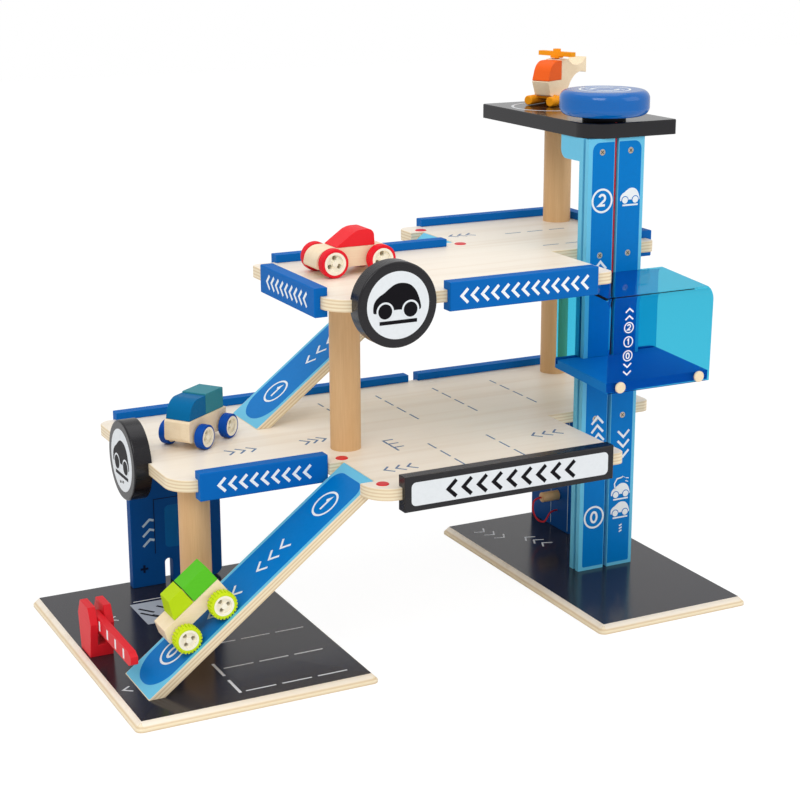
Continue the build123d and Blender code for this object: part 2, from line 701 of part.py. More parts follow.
# ---- cars --------------------------------------------------------------------------------------------------------------------------
def wheel_pair(radius, tyre_t, width, x):
    """Two dished hubs with openings on one axle, and a tyre round each."""
    hub_r = radius - tyre_t
    z = radius + WHEEL_LIFT
    half = width / 2 + WHEEL_SIDE_GAP + WHEEL_T / 2
    axle = rod_y(AXLE_D, -half, half, x, z)
    tyres = []
    for side in (-1, 1):
        face = side * (half + WHEEL_T / 2)
        near = min(face, face - side * WHEEL_T)
        hub = rod_y(2 * hub_r, near, near + WHEEL_T, x, z)
        dish = min(face, face - side * HUB_DISH)
        ring = rod_y(1.56 * hub_r, dish, dish + HUB_DISH, x, z)
        boss = rod_y(AXLE_D + 2, dish, dish + HUB_DISH, x, z)
        hub -= ring - boss
        for k in range(SPOKE_HOLES):
            turn = math.radians(90 + 360 * k / SPOKE_HOLES)
            hx = x + 0.50 * hub_r * math.cos(turn)
            hz = z + 0.50 * hub_r * math.sin(turn)
            hub -= rod_y(0.44 * hub_r, near - 1, near + WHEEL_T + 1, hx, hz)
        axle += hub
        tyre = rod_y(2 * radius, near, near + WHEEL_T, x, z)
        tyre = chamfer(tyre.edges().filter_by(GeomType.CIRCLE), TYRE_EDGE)
        tyres.append(tyre - rod_y(2 * hub_r + 2 * PLAY, near - 1, near + WHEEL_T + 1, x, z))
    return [axle] + tyres


def rounded_side(points, width):
    """Side outline of (x, z, corner radius), centred on Y."""
    return extrude(Plane.XZ * outline(points), amount=width / 2, both=True)


def drilled(body, width, axles, radius):
    for x in axles:
        body -= rod_y(AXLE_D + 2 * SHAFT_PLAY, -width, width, x, radius + WHEEL_LIFT)
    return body


def vehicle(name, place, blocks, axles, radius, tyre_t, width):
    """Places a car's blocks and its two wheel sets."""
    front, rear = axles
    parts = {name + "_" + key: place * block for key, block in blocks.items()}
    parts[name + "_wheels_front"] = [place * s for s in wheel_pair(radius, tyre_t, width, front)]
    parts[name + "_wheels_rear"] = [place * s for s in wheel_pair(radius, tyre_t, width, rear)]
    return parts


def red_car():
    place = Location((RED_CAR[0], RED_CAR[1], LEVEL_2), (0, 0, 180))
    axles = (RED_BASE / 2, -RED_BASE / 2)
    body = rounded_side([
        (-RED_TAIL, CHASSIS_CLEAR, 3), (RED_NOSE, CHASSIS_CLEAR, 3),
        (RED_NOSE - 3.5, RED_DECK, 15), (-RED_TAIL + 1, RED_DECK, 9)], RED_W)
    seat = RED_DECK + FIT
    back = -RED_CANOPY_L / 2 - 2
    canopy = rounded_side([
        (back, seat, 0.8), (back + RED_CANOPY_L + 1, seat, 0.3),
        (back + RED_CANOPY_L * 0.47, seat + RED_CANOPY_H, 22), (back + 1, seat + RED_CANOPY_H, 7)],
        RED_W - CAB_INSET)
    blocks = {"body": drilled(body, RED_W, axles, RED_WHEEL_R), "canopy": canopy}
    return vehicle("red_car", place, blocks, axles, RED_WHEEL_R, RED_TYRE, RED_W)


def blue_car():
    place = Location((BLUE_CAR[0], BLUE_CAR[1], LEVEL_1), (0, 0, BLUE_HEADING))
    axles = (BLUE_BASE / 2, -BLUE_BASE / 2)
    body = rounded_side([
        (-BLUE_TAIL, CHASSIS_CLEAR, 3), (BLUE_NOSE, CHASSIS_CLEAR, 5),
        (BLUE_NOSE - 1, BLUE_DECK, 3), (-BLUE_TAIL, BLUE_DECK, 1)], BLUE_W)
    seat = BLUE_DECK + FIT
    roof_front = BLUE_NOSE - 8
    cab = rounded_side([
        (BLUE_SPLIT + FIT, seat, 0.4), (BLUE_NOSE - 2.7, seat, 0.5),
        (roof_front, seat + BLUE_CAB_H, 18), (BLUE_SPLIT + FIT, seat + BLUE_CAB_H, 0.4)], BLUE_W - CAB_INSET)
    load = rounded_side([
        (-BLUE_TAIL + 3.7, seat, 0.4), (BLUE_SPLIT, seat, 0.4),
        (BLUE_SPLIT, seat + BLUE_BOX_H, 0.8), (-BLUE_TAIL + 3.7, seat + BLUE_BOX_H, 1.2)], BLUE_W - CAB_INSET)
    blocks = {"body": drilled(body, BLUE_W, axles, BLUE_WHEEL_R), "cab": cab, "box": load}
    return vehicle("blue_car", place, blocks, axles, BLUE_WHEEL_R, BLUE_TYRE, BLUE_W)


def sloped_sides(solid, low, high):
    """Leaves the solid narrower at its top than at its foot."""
    half = (GREEN_W - CAB_INSET / 2) / 2
    reach = GREEN_TAIL + GREEN_NOSE
    section = Plane.YZ * make_face(Polyline(
        (-half, low), (half, low), (half - CAB_INSET, high), (-half + CAB_INSET, high), close=True))
    return solid & extrude(section, amount=reach, both=True)


def green_car():
    slope = math.atan2(RAMP_RISE_1, RAMP_RUN)
    x = D1_NOTCH_X - RAMP_RUN + GREEN_CAR_S * math.cos(slope)
    z = BASE_T + GREEN_CAR_S * math.sin(slope)
    place = Location((x, GREEN_CAR_Y, z), (0, -math.degrees(slope), 0)) * Location((0, 0, 0), (0, 0, 180))
    axles = (GREEN_BASE / 2, -GREEN_BASE / 2)
    edge = AXLE_BLOCK / 2
    body = rounded_side([
        (-GREEN_TAIL, GREEN_FLOOR, 1), (GREEN_NOSE - 2, GREEN_FLOOR, 1), (GREEN_NOSE, GREEN_FLOOR + 3, 1),
        (GREEN_NOSE - 4.5, GREEN_DECK, 1), (-GREEN_TAIL, GREEN_DECK, 1)], GREEN_W)
    for middle in axles:
        body += Pos(middle - edge, -GREEN_W / 2, CHASSIS_CLEAR) * Box(
            AXLE_BLOCK, GREEN_W, GREEN_FLOOR - CHASSIS_CLEAR + 1, align=LOW)
    seat = GREEN_DECK + FIT
    top = seat + GREEN_BLOCK_H
    cab = rounded_side([
        (GREEN_SPLIT, seat, 0.4), (GREEN_CAB_FRONT, seat, 0.6), (GREEN_CAB_TOP, top, 1.2), (GREEN_SPLIT, top, 0.4)],
        GREEN_W)
    load = rounded_side([
        (-GREEN_TAIL, seat, 0.4), (GREEN_SPLIT - GREEN_SPLIT_GAP, seat, 0.4),
        (GREEN_SPLIT - GREEN_SPLIT_GAP, top, 0.4), (-GREEN_TAIL, top, 0.6)], GREEN_W)
    blocks = {"body": drilled(body, GREEN_W, axles, GREEN_WHEEL_R),
              "cab": sloped_sides(cab, seat, top), "box": sloped_sides(load, seat, top)}
    return vehicle("green_car", place, blocks, axles, GREEN_WHEEL_R, GREEN_TYRE, GREEN_W)


# ---- helicopter -------------------------------------------------------------------------------------------------------------------------
def helicopter():
    place = Location((HELI[0], HELI[1], LEVEL_3 + WHEEL_LIFT), (0, 0, HELI_HEADING))
    skid_z = SKID_D / 2
    strut_z = HELI_BELLY - STRUT_D / 6
    skids = None
    for side in (-1, 1):
        skid = rod_x(SKID_D, -SKID_L / 2, SKID_L / 2, side * SKID_SPREAD / 2, skid_z)
        skid = fillet(skid.edges().filter_by(GeomType.CIRCLE), 1.5)
        skids = skid if skids is None else skids + skid
    reach = (SKID_SPREAD - STRUT_D / 2) / 2
    for x in STRUTS:
        skids += rod_y(STRUT_D, -reach, reach, x, strut_z)
    body = rounded_side([
        (21, HELI_BELLY, 4), (HELI_NOSE, HELI_SEAT, 1), (-1, HELI_SEAT, 0), (-1, HELI_TOP, 0.8),
        (-HELI_TAIL, HELI_TOP, 0), (-HELI_TAIL, HELI_BELLY, 0)], HELI_W)
    body -= rod_y(2 * TAIL_UNDER_R, -HELI_W, HELI_W, -44, 3)
    body -= rod_y(2 * TAIL_NOTCH_R, -HELI_W, HELI_W, TAIL_NOTCH_X, HELI_TOP - 8.2 + TAIL_NOTCH_R)
    for x in STRUTS:
        body -= rod_y(STRUT_D + 2 * PLAY, -HELI_W, HELI_W, x, strut_z)
    body -= rod(MAST_D + 2 * SHAFT_PLAY, MAST_L + 2, (MAST_X, 0, HELI_TOP - MAST_L))
    seat = HELI_SEAT + FIT
    canopy = rounded_side([
        (-1 + FIT, seat, 0.4), (HELI_NOSE - 0.3, seat, 0.8), (20, HELI_TOP - 1, 17), (-1 + FIT, HELI_TOP - 1, 0.4)],
        HELI_W)
    bar = Box(ROTOR_L, ROTOR_W, ROTOR_T, align=ON_END)
    rotor = Location((MAST_X, 0, ROTOR_Z), (0, 0, ROTOR_TURN)) * fillet(bar.edges().filter_by(Axis.Z), 1.5)
    rotor += rod(HUB_D, 2.5, (MAST_X, 0, ROTOR_Z - 2))
    rotor += rod(CAP_D, CAP_H + 1, (MAST_X, 0, ROTOR_Z + ROTOR_T - 1))
    rotor += rod(MAST_D, ROTOR_Z - HELI_TOP + MAST_L, (MAST_X, 0, HELI_TOP - MAST_L + FIT))
    return {
        "helicopter_skids": place * skids,
        "helicopter_body": place * body,
        "helicopter_canopy": place * canopy,
        "helicopter_rotor": place * rotor,
    }


# ---- the whole garage --------------------------------------------------------------------------------------------------------------------
def pieces():
    rear = POST_REAR
    back = DECK_BACK
    parts = {
        "base_left": base_left(),
        "base_right": base_plate(BASE_RIGHT_X, BASE_RIGHT_W),
        "deck_lower": deck_lower(),
        "deck_upper": deck_upper(),
        "roof": roof(),
        "column_left": post((POST_LEFT_X, POST_FRONT_Y), BASE_T, DECK_1_UNDER),
        "column_mid": post((POST_MID_X, POST_FRONT_Y), LEVEL_1, DECK_2_UNDER),
        "column_rear_lower": post(rear, LEVEL_1, DECK_2_UNDER),
        "column_rear_upper": post(rear, LEVEL_2, ROOF_UNDER),
        "tower_board_left": tower_board(-1),
        "tower_board_right": tower_board(1),
        "tower_core": tower_core(),
        "tower_back": tower_back(),
        "screws": screws(),
        "guard_lower_front": edge_guard("front", D1_LEFT + 25, D1_STEP_X, D1_STEP_Y, LEVEL_1),
        "guard_lower_back_left": edge_guard("back", D1_LEFT + 20, LOWER_BACK_SPLIT, back, LEVEL_1),
        "guard_lower_back_right": edge_guard("back", LOWER_BACK_START, DECK_RIGHT - 1, back, LEVEL_1),
        "guard_upper_left": edge_guard("left", *UPPER_LEFT_SPAN, D2_LEFT, LEVEL_2),
        "guard_upper_mid": edge_guard("back", UPPER_MID_START, D2_STEP_X - 3, D2_STEP_Y, LEVEL_2),
        "guard_upper_back": edge_guard("back", UPPER_BACK_START, DECK_RIGHT + 6, back, LEVEL_2),
        "guard_upper_right": edge_guard("right", UPPER_RIGHT_START, back - GUARD_LIP - 1, DECK_RIGHT, LEVEL_2),
        "guard_upper_front": edge_guard("front", *UPPER_FRONT_SPAN, D2_FRONT, LEVEL_2),
        "sign_board": edge_guard("front", *SIGN_BOARD_SPAN, D1_FRONT, LEVEL_1, SIGN_BOARD_H),
        "sign_round_front": Pos(SIGN_FRONT_X, D2_FRONT, LEVEL_2 - DECK_T / 2) * sign_disc(),
        "sign_round_left": Location((D1_LEFT, SIGN_LEFT_Y, LEVEL_1 - DECK_T / 2), (0, 0, -90)) * sign_disc(),
        "ramp_lower": ramp(D1_NOTCH_X - RAMP_RUN, RAMP_1_Y, BASE_T, RAMP_RISE_1),
        "ramp_upper": ramp(D2_NOTCH_X - RAMP_RUN, RAMP_2_Y, LEVEL_1, RAMP_RISE_2),
        "ramp_plugs": ramp_plugs(),
        "barrier_base": barrier_base(),
        "barrier_arm": barrier_arm(),
        "charger_wall": charger_wall(),
        "charger_plug": charger_plug(),
        "charger_cord": charger_cord(),
        "service_board": service_board(),
        "knob": knob(),
        "knob_spindle": knob_spindle(),
        "lift_cord": lift_cord(),
        "cabin_sheet": cabin_sheet(),
        "cabin_floor": cabin_floor(),
        "cabin_pegs": cabin_pegs(),
    }
    parts.update(red_car())
    parts.update(blue_car())
    parts.update(green_car())
    parts.update(helicopter())
    return parts


def export(name, shape):
    solids = shape if isinstance(shape, list) else [shape]
    moved = [TO_CENTRE * s for s in solids]
    whole = moved[0] if len(moved) == 1 else Compound(children=moved)
    whole.label = name
    export_step(whole, os.path.join("parts", name + ".step"))


os.makedirs("parts", exist_ok=True)
for piece_name, piece_shape in pieces().items():
    export(piece_name, piece_shape)
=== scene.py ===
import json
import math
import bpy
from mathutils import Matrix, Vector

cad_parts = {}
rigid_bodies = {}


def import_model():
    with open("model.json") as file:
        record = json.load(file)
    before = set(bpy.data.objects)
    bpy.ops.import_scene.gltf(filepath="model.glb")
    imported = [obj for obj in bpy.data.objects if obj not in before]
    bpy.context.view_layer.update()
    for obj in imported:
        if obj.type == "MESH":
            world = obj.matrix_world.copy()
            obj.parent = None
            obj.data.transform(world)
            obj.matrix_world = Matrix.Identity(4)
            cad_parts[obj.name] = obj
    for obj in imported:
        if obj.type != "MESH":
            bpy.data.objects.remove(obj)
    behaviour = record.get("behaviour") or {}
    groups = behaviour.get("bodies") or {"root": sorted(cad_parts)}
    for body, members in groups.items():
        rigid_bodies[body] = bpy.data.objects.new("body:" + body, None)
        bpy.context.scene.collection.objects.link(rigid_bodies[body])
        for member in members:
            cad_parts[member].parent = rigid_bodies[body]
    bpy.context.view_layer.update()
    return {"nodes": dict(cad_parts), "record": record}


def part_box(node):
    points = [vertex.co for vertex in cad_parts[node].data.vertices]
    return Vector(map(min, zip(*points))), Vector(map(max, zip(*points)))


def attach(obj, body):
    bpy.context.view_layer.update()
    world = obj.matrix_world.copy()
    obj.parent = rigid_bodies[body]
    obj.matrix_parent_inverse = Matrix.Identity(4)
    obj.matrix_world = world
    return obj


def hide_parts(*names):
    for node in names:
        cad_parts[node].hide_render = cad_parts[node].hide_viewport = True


bl_info = {
    "name": "Toy parking garage",
    "version": (1, 0, 0),
    "blender": (4, 5, 0),
    "location": "3D View > Sidebar > Garage",
    "description": "Dresses a wooden toy parking garage: plates, decks, ramps, lift, cars and helicopter",
    "category": "Object",
}

import bmesh
import bpy
from mathutils import Matrix, Vector

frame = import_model()

MM = 0.001
CORNER = Vector(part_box("base_left")[0])          # front left bottom corner of the garage


def at(x, y, z):
    """Point given in millimetres from the garage's front left bottom corner."""
    return CORNER + Vector((x, y, z)) * MM


def corners(node):
    """Lowest and highest corner of a node, in metres."""
    low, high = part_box(node)
    return Vector(low), Vector(high)


def top_of(node):
    """Height of a node's top face, in millimetres above the table."""
    return corners(node)[1].z / MM


DECK_1 = top_of("deck_lower")
DECK_2 = top_of("deck_upper")
ROOF = top_of("roof")
BASE = top_of("base_left")
RAMP_LOW, RAMP_HIGH = corners("ramp_lower")
RAMP_RUN = (RAMP_HIGH.x - RAMP_LOW.x) / MM
SLOPE = math.atan2(top_of("ramp_lower") - BASE, RAMP_RUN)

# the tower's six screws: two rows of three, either side of the cord
CORD_X = 607.5
SCREW_SPREAD = 18
SCREW_LOW, SCREW_HIGH = corners("screws")
SCREW_HEAD = (SCREW_HIGH.x - SCREW_LOW.x) / MM / 2 - SCREW_SPREAD       # radius of a head
SCREWS = [(CORD_X + side, z) for z in (DECK_1 - 6, DECK_2 - 6, top_of("tower_core") - 14.4)
          for side in (-SCREW_SPREAD, SCREW_SPREAD)]

LEAD_WIDTH = 2.2                        # of the charging lead

# the camera that took the photograph, in millimetres, degrees and pixels
CAMERA_PLACE = (-462, -1461, 742)
CAMERA_YAW, CAMERA_PITCH, CAMERA_ROLL = 26.69, 15.58, -0.15
FOCUS_PIXELS, PICTURE_PIXELS, SENSOR = 1793, 800, 36


# ---- colours and sizes a user may change ----

def srgb(red, green, blue):
    """Screen colour 0-255 as the linear colour that a shader takes."""
    def line(value):
        value /= 255
        return value / 12.92 if value <= 0.04045 else ((value + 0.055) / 1.055) ** 2.4
    return (line(red), line(green), line(blue))


def colour_prop(name, description, red, green, blue):
    return bpy.props.FloatVectorProperty(
        name=name, description=description, subtype="COLOR", size=3, min=0, max=1,
        default=srgb(red, green, blue))


class GarageColours(bpy.types.PropertyGroup):
    birch: colour_prop("Birch", "Face of the decks' plywood", 250, 239, 222)
    ply_edge: colour_prop("Ply edge", "Cut edge of the plywood", 240, 224, 192)
    ply_line: colour_prop("Ply line", "Darker layers in the plywood's edge", 205, 170, 122)
    beech: colour_prop("Beech", "Posts and pegs", 222, 180, 130)
    pale_wood: colour_prop("Pale wood", "Bodies of the cars and the helicopter", 249, 229, 196)
    road: colour_prop("Road", "Top of the base plates", 38, 36, 42)
    black: colour_prop("Black", "Roof, signs and sign board", 17, 15, 20)
    guard: colour_prop("Guard blue", "Guards and upright boards", 2, 100, 180)
    panel: colour_prop("Panel blue", "Printed panels of ramps and tower", 0, 120, 198)
    sky: colour_prop("Sky blue", "Borders of ramps and sides of the tower", 104, 194, 228)
    board: colour_prop("Board blue", "Charging wall and service board", 6, 72, 138)
    red: colour_prop("Red", "Barrier, plugs and car canopy", 220, 30, 42)
    amber: colour_prop("Amber", "Skids and rotor of the helicopter", 250, 160, 25)
    hub: colour_prop("Hub", "Wheel hubs", 250, 243, 224)
    print_white: colour_prop("Print white", "White prints", 238, 242, 244)
    print_blue: colour_prop("Print blue", "Blue-grey prints on the decks", 92, 122, 158)


class GarageSizes(bpy.types.PropertyGroup):
    paint: bpy.props.FloatProperty(
        name="Paint", description="Thickness of the printed paint", default=0.12 * MM, min=0,
        unit="LENGTH", subtype="DISTANCE")


# ---- shader writing ----

class Wire:
    """A shader socket that can be used in arithmetic; each operator adds its Math node."""

    def __init__(self, finish, socket):
        self.finish = finish
        self.socket = socket

    def _math(self, operation, *values):
        return self.finish.node("ShaderNodeMath", {"operation": operation}, dict(enumerate(values)))

    def __add__(self, other):
        return self._math("ADD", self, other)

    def __radd__(self, other):
        return self._math("ADD", other, self)

    def __sub__(self, other):
        return self._math("SUBTRACT", self, other)

    def __rsub__(self, other):
        return self._math("SUBTRACT", other, self)

    def __mul__(self, other):
        return self._math("MULTIPLY", self, other)

    def __truediv__(self, other):
        return self._math("DIVIDE", self, other)

    def __gt__(self, other):
        return self._math("GREATER_THAN", self, other)

    def __abs__(self):
        return self._math("ABSOLUTE", self)

    def wave(self):
        return self._math("SINE", self)

    def between(self, low, high):
        """0 below low, 1 above high, smooth in between."""
        return self.finish.node("ShaderNodeMapRange", {"interpolation_type": "SMOOTHSTEP"},
                                {0: self, 1: low, 2: high, 3: 0.0, 4: 1.0})


class Finish:
    """One procedural material with a Principled shader."""

    def __init__(self, name):
        self.material = bpy.data.materials.new(name)
        self.material.use_nodes = True
        self.tree = self.material.node_tree
        self.shader = self.tree.nodes["Principled BSDF"]
        self.place = self.node("ShaderNodeTexCoord", out="Object")
        self.facing = self.node("ShaderNodeTexCoord", out="Normal")

    def node(self, kind, options=None, sockets=None, out=0):
        """A new node with these options and sockets; gives one of its outputs."""
        made = self.tree.nodes.new(kind)
        for key, value in (options or {}).items():
            setattr(made, key, value)
        for key, value in (sockets or {}).items():
            if isinstance(value, Wire):
                self.tree.links.new(value.socket, made.inputs[key])
            else:
                made.inputs[key].default_value = value
        return Wire(self, made.outputs[out])

    def axes(self, wire):
        """The three parts of a vector."""
        split = self.tree.nodes.new("ShaderNodeSeparateXYZ")
        self.tree.links.new(wire.socket, split.inputs[0])
        return [Wire(self, output) for output in split.outputs]

    def stretched(self, scale):
        """Object coordinates scaled along each axis."""
        return self.node(
            "ShaderNodeMapping", {"vector_type": "POINT"}, {"Vector": self.place, "Scale": scale})

    def noise(self, scale, detail=3.0, roughness=0.55, distortion=0.0):
        """Cloudy pattern, finer along an axis whose scale is larger."""
        return self.node("ShaderNodeTexNoise", None, {
            "Vector": self.stretched(scale), "Scale": 1.0, "Detail": detail, "Roughness": roughness,
            "Distortion": distortion}, out="Fac")

    def blend(self, factor, first, second):
        """Colour between first and second; inputs 6 and 7 and output 2 are the node's colours."""
        mixed = self.tree.nodes.new("ShaderNodeMix")
        mixed.data_type = "RGBA"
        self.tree.links.new(factor.socket, mixed.inputs[0])
        for index, value in ((6, first), (7, second)):
            if isinstance(value, Wire):
                self.tree.links.new(value.socket, mixed.inputs[index])
            else:
                mixed.inputs[index].default_value = (*value, 1.0)
        return Wire(self, mixed.outputs[2])

    def set(self, socket, value):
        """Feeds a socket of the Principled shader."""
        if isinstance(value, Wire):
            self.tree.links.new(value.socket, self.shader.inputs[socket])
        elif isinstance(value, tuple) and len(value) == 3:
            self.shader.inputs[socket].default_value = (*value, 1.0)
        else:
            self.shader.inputs[socket].default_value = value
        return self

    def bump(self, height, distance, strength=1.0):
        normal = self.node("ShaderNodeBump", None, {
            "Height": height, "Distance": distance, "Strength": strength}, out="Normal")
        return self.set("Normal", normal)


def shade(colour, amount):
    """The colour made lighter (above 1) or darker (below 1)."""
    return tuple(min(1.0, part * amount) for part in colour)


def grain_scale(along, fine):
    """Noise scale of wood fibres: long along one axis, fine across it."""
    scale = [fine, fine, fine]
    scale["XYZ".index(along)] = fine / 22
    return tuple(scale)


def bare_wood(name, colour, along="Z", contrast=1.0):
    """Lacquered bare wood: long fibres, broad bands and fine pores."""
    made = Finish(name)
    fibres = made.noise(grain_scale(along, 900), 4.0, 0.6)
    bands = made.noise(grain_scale(along, 110), 2.0, 0.5, distortion=0.4)
    dark = tuple(part * tint for part, tint in zip(colour, (0.80, 0.70, 0.58)))
    tone = made.blend(fibres.between(0.3, 0.75) * (0.35 * contrast), colour, dark)
    tone = made.blend(bands.between(0.35, 0.8) * (0.45 * contrast), tone, dark)
    made.set("Base Color", tone)
    made.set("Roughness", 0.42 + fibres * 0.12)
    made.set("Specular IOR Level", 0.35)
    return made.bump(fibres, 0.0002, 0.25)


def ply_wood(name, colours, middle, thick, layers, rough=0.3, top=None):
    """Plywood: a long-grained face, and layers of alternate tone round the edge."""
    made = Finish(name)
    face, side, line = colours.birch, colours.ply_edge, colours.ply_line
    z = made.axes(made.place)[2]
    level_part = made.axes(made.facing)[2]
    fibres = made.noise(grain_scale("X", 620), 4.0, 0.6)
    bands = made.noise(grain_scale("X", 60), 3.0, 0.5, distortion=0.6)
    veneer = made.blend(fibres.between(0.35, 0.8) * 0.16, face, shade(face, 0.84))
    veneer = made.blend(bands.between(0.4, 0.85) * 0.24, veneer, line)
    wobble = made.noise((40, 40, 8), 2.0) * 0.0007
    level = (z - (middle * MM - thick * MM / 2) + wobble) / (thick * MM / layers)
    stripe = (level * math.pi).wave() * 0.5 + 0.5
    speck = made.noise((700, 700, 2600), 3.0, 0.7)
    edge = made.blend(stripe.between(0.35, 0.9) * 0.5, side, line)
    edge = made.blend(speck.between(0.55, 0.85) * 0.25, edge, shade(line, 0.7))
    flat = abs(level_part).between(0.80, 0.95)
    tone = made.blend(flat, edge, veneer)
    gloss = rough + fibres * 0.1
    if top:
        painted = z > (middle + thick / 2 - 0.02) * MM
        patch = made.noise((9, 9, 9), 4.0, 0.6)
        paint = made.blend(patch.between(0.3, 0.75) * 0.4, top, shade(top, 1.3))
        tone = made.blend(painted, tone, paint)
        gloss = gloss - painted * 0.12
    made.set("Base Color", tone)
    made.set("Roughness", gloss)
    made.set("Specular IOR Level", 0.45)
    return made.bump(fibres + stripe * 0.4 * (1 - flat), 0.00012, 0.25)


def painted_wood(name, colour, along="X", rough=0.46, shine=0.08, depth=0.0001, lift=1.12):
    """Paint on wood: faint fibres show through and the cover is a little uneven."""
    made = Finish(name)
    fibres = made.noise(grain_scale(along, 700), 4.0, 0.6)
    cloud = made.noise((14, 14, 14), 3.0, 0.55)
    tone = made.blend(fibres.between(0.3, 0.8) * 0.2, colour, shade(colour, 0.84))
    tone = made.blend(cloud.between(0.35, 0.8) * 0.25, tone, shade(colour, lift))
    made.set("Base Color", tone)
    made.set("Roughness", rough + fibres * 0.12)
    made.set("Specular IOR Level", shine)
    return made.bump(fibres, depth, 0.3)


def print_paint(name, colour, rough=0.4):
    """Printed ink with a slightly uneven cover."""
    made = Finish(name)
    cover = made.noise((260, 260, 260), 3.0, 0.6)
    made.set("Base Color", made.blend(cover.between(0.35, 0.8) * 0.3, colour, shade(colour, 0.86)))
    made.set("Roughness", rough + cover * 0.1)
    made.set("Specular IOR Level", 0.08)
    return made


def clear_sheet(name, colour):
    """Tinted clear sheet with faint scuffs."""
    made = Finish(name)
    scuff = made.noise((60, 60, 60), 4.0, 0.7)
    made.set("Base Color", colour)
    made.set("Transmission Weight", 1.0)
    made.set("IOR", 1.1)
    made.set("Roughness", 0.04 + scuff.between(0.55, 0.9) * 0.05)
    return made


def metal(name, colour):
    """Finely brushed metal."""
    made = Finish(name)
    brush = made.noise((1800, 1800, 1800), 2.0)
    made.set("Base Color", made.blend(brush * 0.4, colour, shade(colour, 0.75)))
    made.set("Metallic", 1.0)
    made.set("Roughness", 0.3 + brush * 0.15)
    return made


def twisted_cord(name, colour):
    """Twisted textile cord."""
    made = Finish(name)
    x, y, z = made.axes(made.place)
    turn = ((z + x + y) * (2 * math.pi / (2.2 * MM))).wave() * 0.5 + 0.5
    made.set("Base Color", made.blend(turn * 0.45, colour, shade(colour, 0.5)))
    made.set("Roughness", 0.75)
    return made.bump(turn, 0.0003, 0.7)


# ---- modelling helpers ----

def choose(*objects):
    """Leaves only these objects selected, the last one active."""
    bpy.ops.object.select_all(action="DESELECT")
    for piece in objects:
        piece.select_set(True)
        bpy.context.view_layer.objects.active = piece


def settle(piece):
    """Puts the piece's place into its mesh."""
    choose(piece)
    bpy.ops.object.transform_apply(location=True, rotation=True, scale=True)
    return piece


def dress(piece, finish, body, slot=None):
    """Gives a finished piece its material and its body."""
    piece.data.materials.clear()
    piece.data.materials.append(finish.material)
    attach(piece, body)
    return piece


def body_of_node(node):
    for body, nodes in frame["record"]["behaviour"]["bodies"].items():
        if node in nodes:
            return body
    raise RuntimeError("no body holds " + node)


def slot_of_node(node):
    for part in frame["record"]["subparts"]:
        if part["node"] == node:
            return part["material_slot"]
    raise RuntimeError("no slot for " + node)


def soften(node, finish, width, segments=3):
    """Sanded copy of a CAD node: welded, its flat faces joined and its edges rounded."""
    source = frame["nodes"][node]
    piece = bpy.data.objects.new(node + "_dressed", source.data.copy())
    bpy.context.collection.objects.link(piece)
    piece.data.transform(source.matrix_world)
    choose(piece)
    bpy.ops.object.mode_set(mode="EDIT")
    bpy.ops.mesh.select_all(action="SELECT")
    bpy.ops.mesh.remove_doubles(threshold=2e-6)
    bpy.ops.mesh.dissolve_limited(angle_limit=math.radians(0.8))
    bpy.ops.object.mode_set(mode="OBJECT")
    if width > 0:
        bevel = piece.modifiers.new("Sanded edges", "BEVEL")
        bevel.width = width
        bevel.segments = segments
        bevel.limit_method = "ANGLE"
        bevel.angle_limit = math.radians(30)
        bpy.ops.object.modifier_apply(modifier=bevel.name)
    bpy.ops.object.shade_smooth_by_angle(angle=math.radians(32))
    flat = piece.modifiers.new("Flat faces", "WEIGHTED_NORMAL")
    flat.keep_sharp = True
    bpy.ops.object.modifier_apply(modifier=flat.name)
    dress(piece, finish, body_of_node(node), slot_of_node(node))
    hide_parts(node)
    return piece


# ---- flat outlines for prints, in millimetres ----

def stroke(points, width, closed=False):
    """Closed outline of a line of this width through the points, with mitred corners."""
    points = [Vector(point) for point in points]
    half = width / 2
    count = len(points)
    sides = ([], [])
    for index, point in enumerate(points):
        ahead = points[(index + 1) % count] - point if closed or index + 1 < count else None
        behind = point - points[index - 1] if closed or index > 0 else None
        one = (behind or ahead).normalized()
        two = (ahead or behind).normalized()
        middle = (one + two).normalized()
        across = Vector((-middle.y, middle.x))
        reach = half / max(0.35, middle.dot(one))
        sides[0].append(tuple(point + across * reach))
        sides[1].append(tuple(point - across * reach))
    if closed:
        return [sides[0], sides[1][::-1]]
    return [sides[0] + sides[1][::-1]]


def circle(x, y, radius, steps=48):
    return [(x + radius * math.cos(2 * math.pi * k / steps), y + radius * math.sin(2 * math.pi * k / steps))
            for k in range(steps)]


def ring(x, y, radius, width):
    return [circle(x, y, radius + width / 2), circle(x, y, radius - width / 2)[::-1]]


def round_box(x0, y0, x1, y1, radii, steps=6):
    """Rectangle with round corners: one radius, or four from the upper right one leftwards."""
    if not isinstance(radii, tuple):
        radii = (radii,) * 4
    one, two, three, four = radii
    loop = []
    for cx, cy, start, radius in ((x1 - one, y1 - one, 0, one), (x0 + two, y1 - two, 90, two),
                                  (x0 + three, y0 + three, 180, three), (x1 - four, y0 + four, 270, four)):
        for step in range(steps + 1):
            turn = math.radians(start + 90 * step / steps)
            loop.append((cx + radius * math.cos(turn), cy + radius * math.sin(turn)))
    return loop


def chevron(x, y, wide, high, width, turn=0):
    """A < shape with its tip at the left, turned about its middle."""
    cos, sin = math.cos(math.radians(turn)), math.sin(math.radians(turn))
    arms = [(wide / 2, high / 2), (-wide / 2, 0), (wide / 2, -high / 2)]
    return stroke([(x + a * cos - b * sin, y + a * sin + b * cos) for a, b in arms], width)


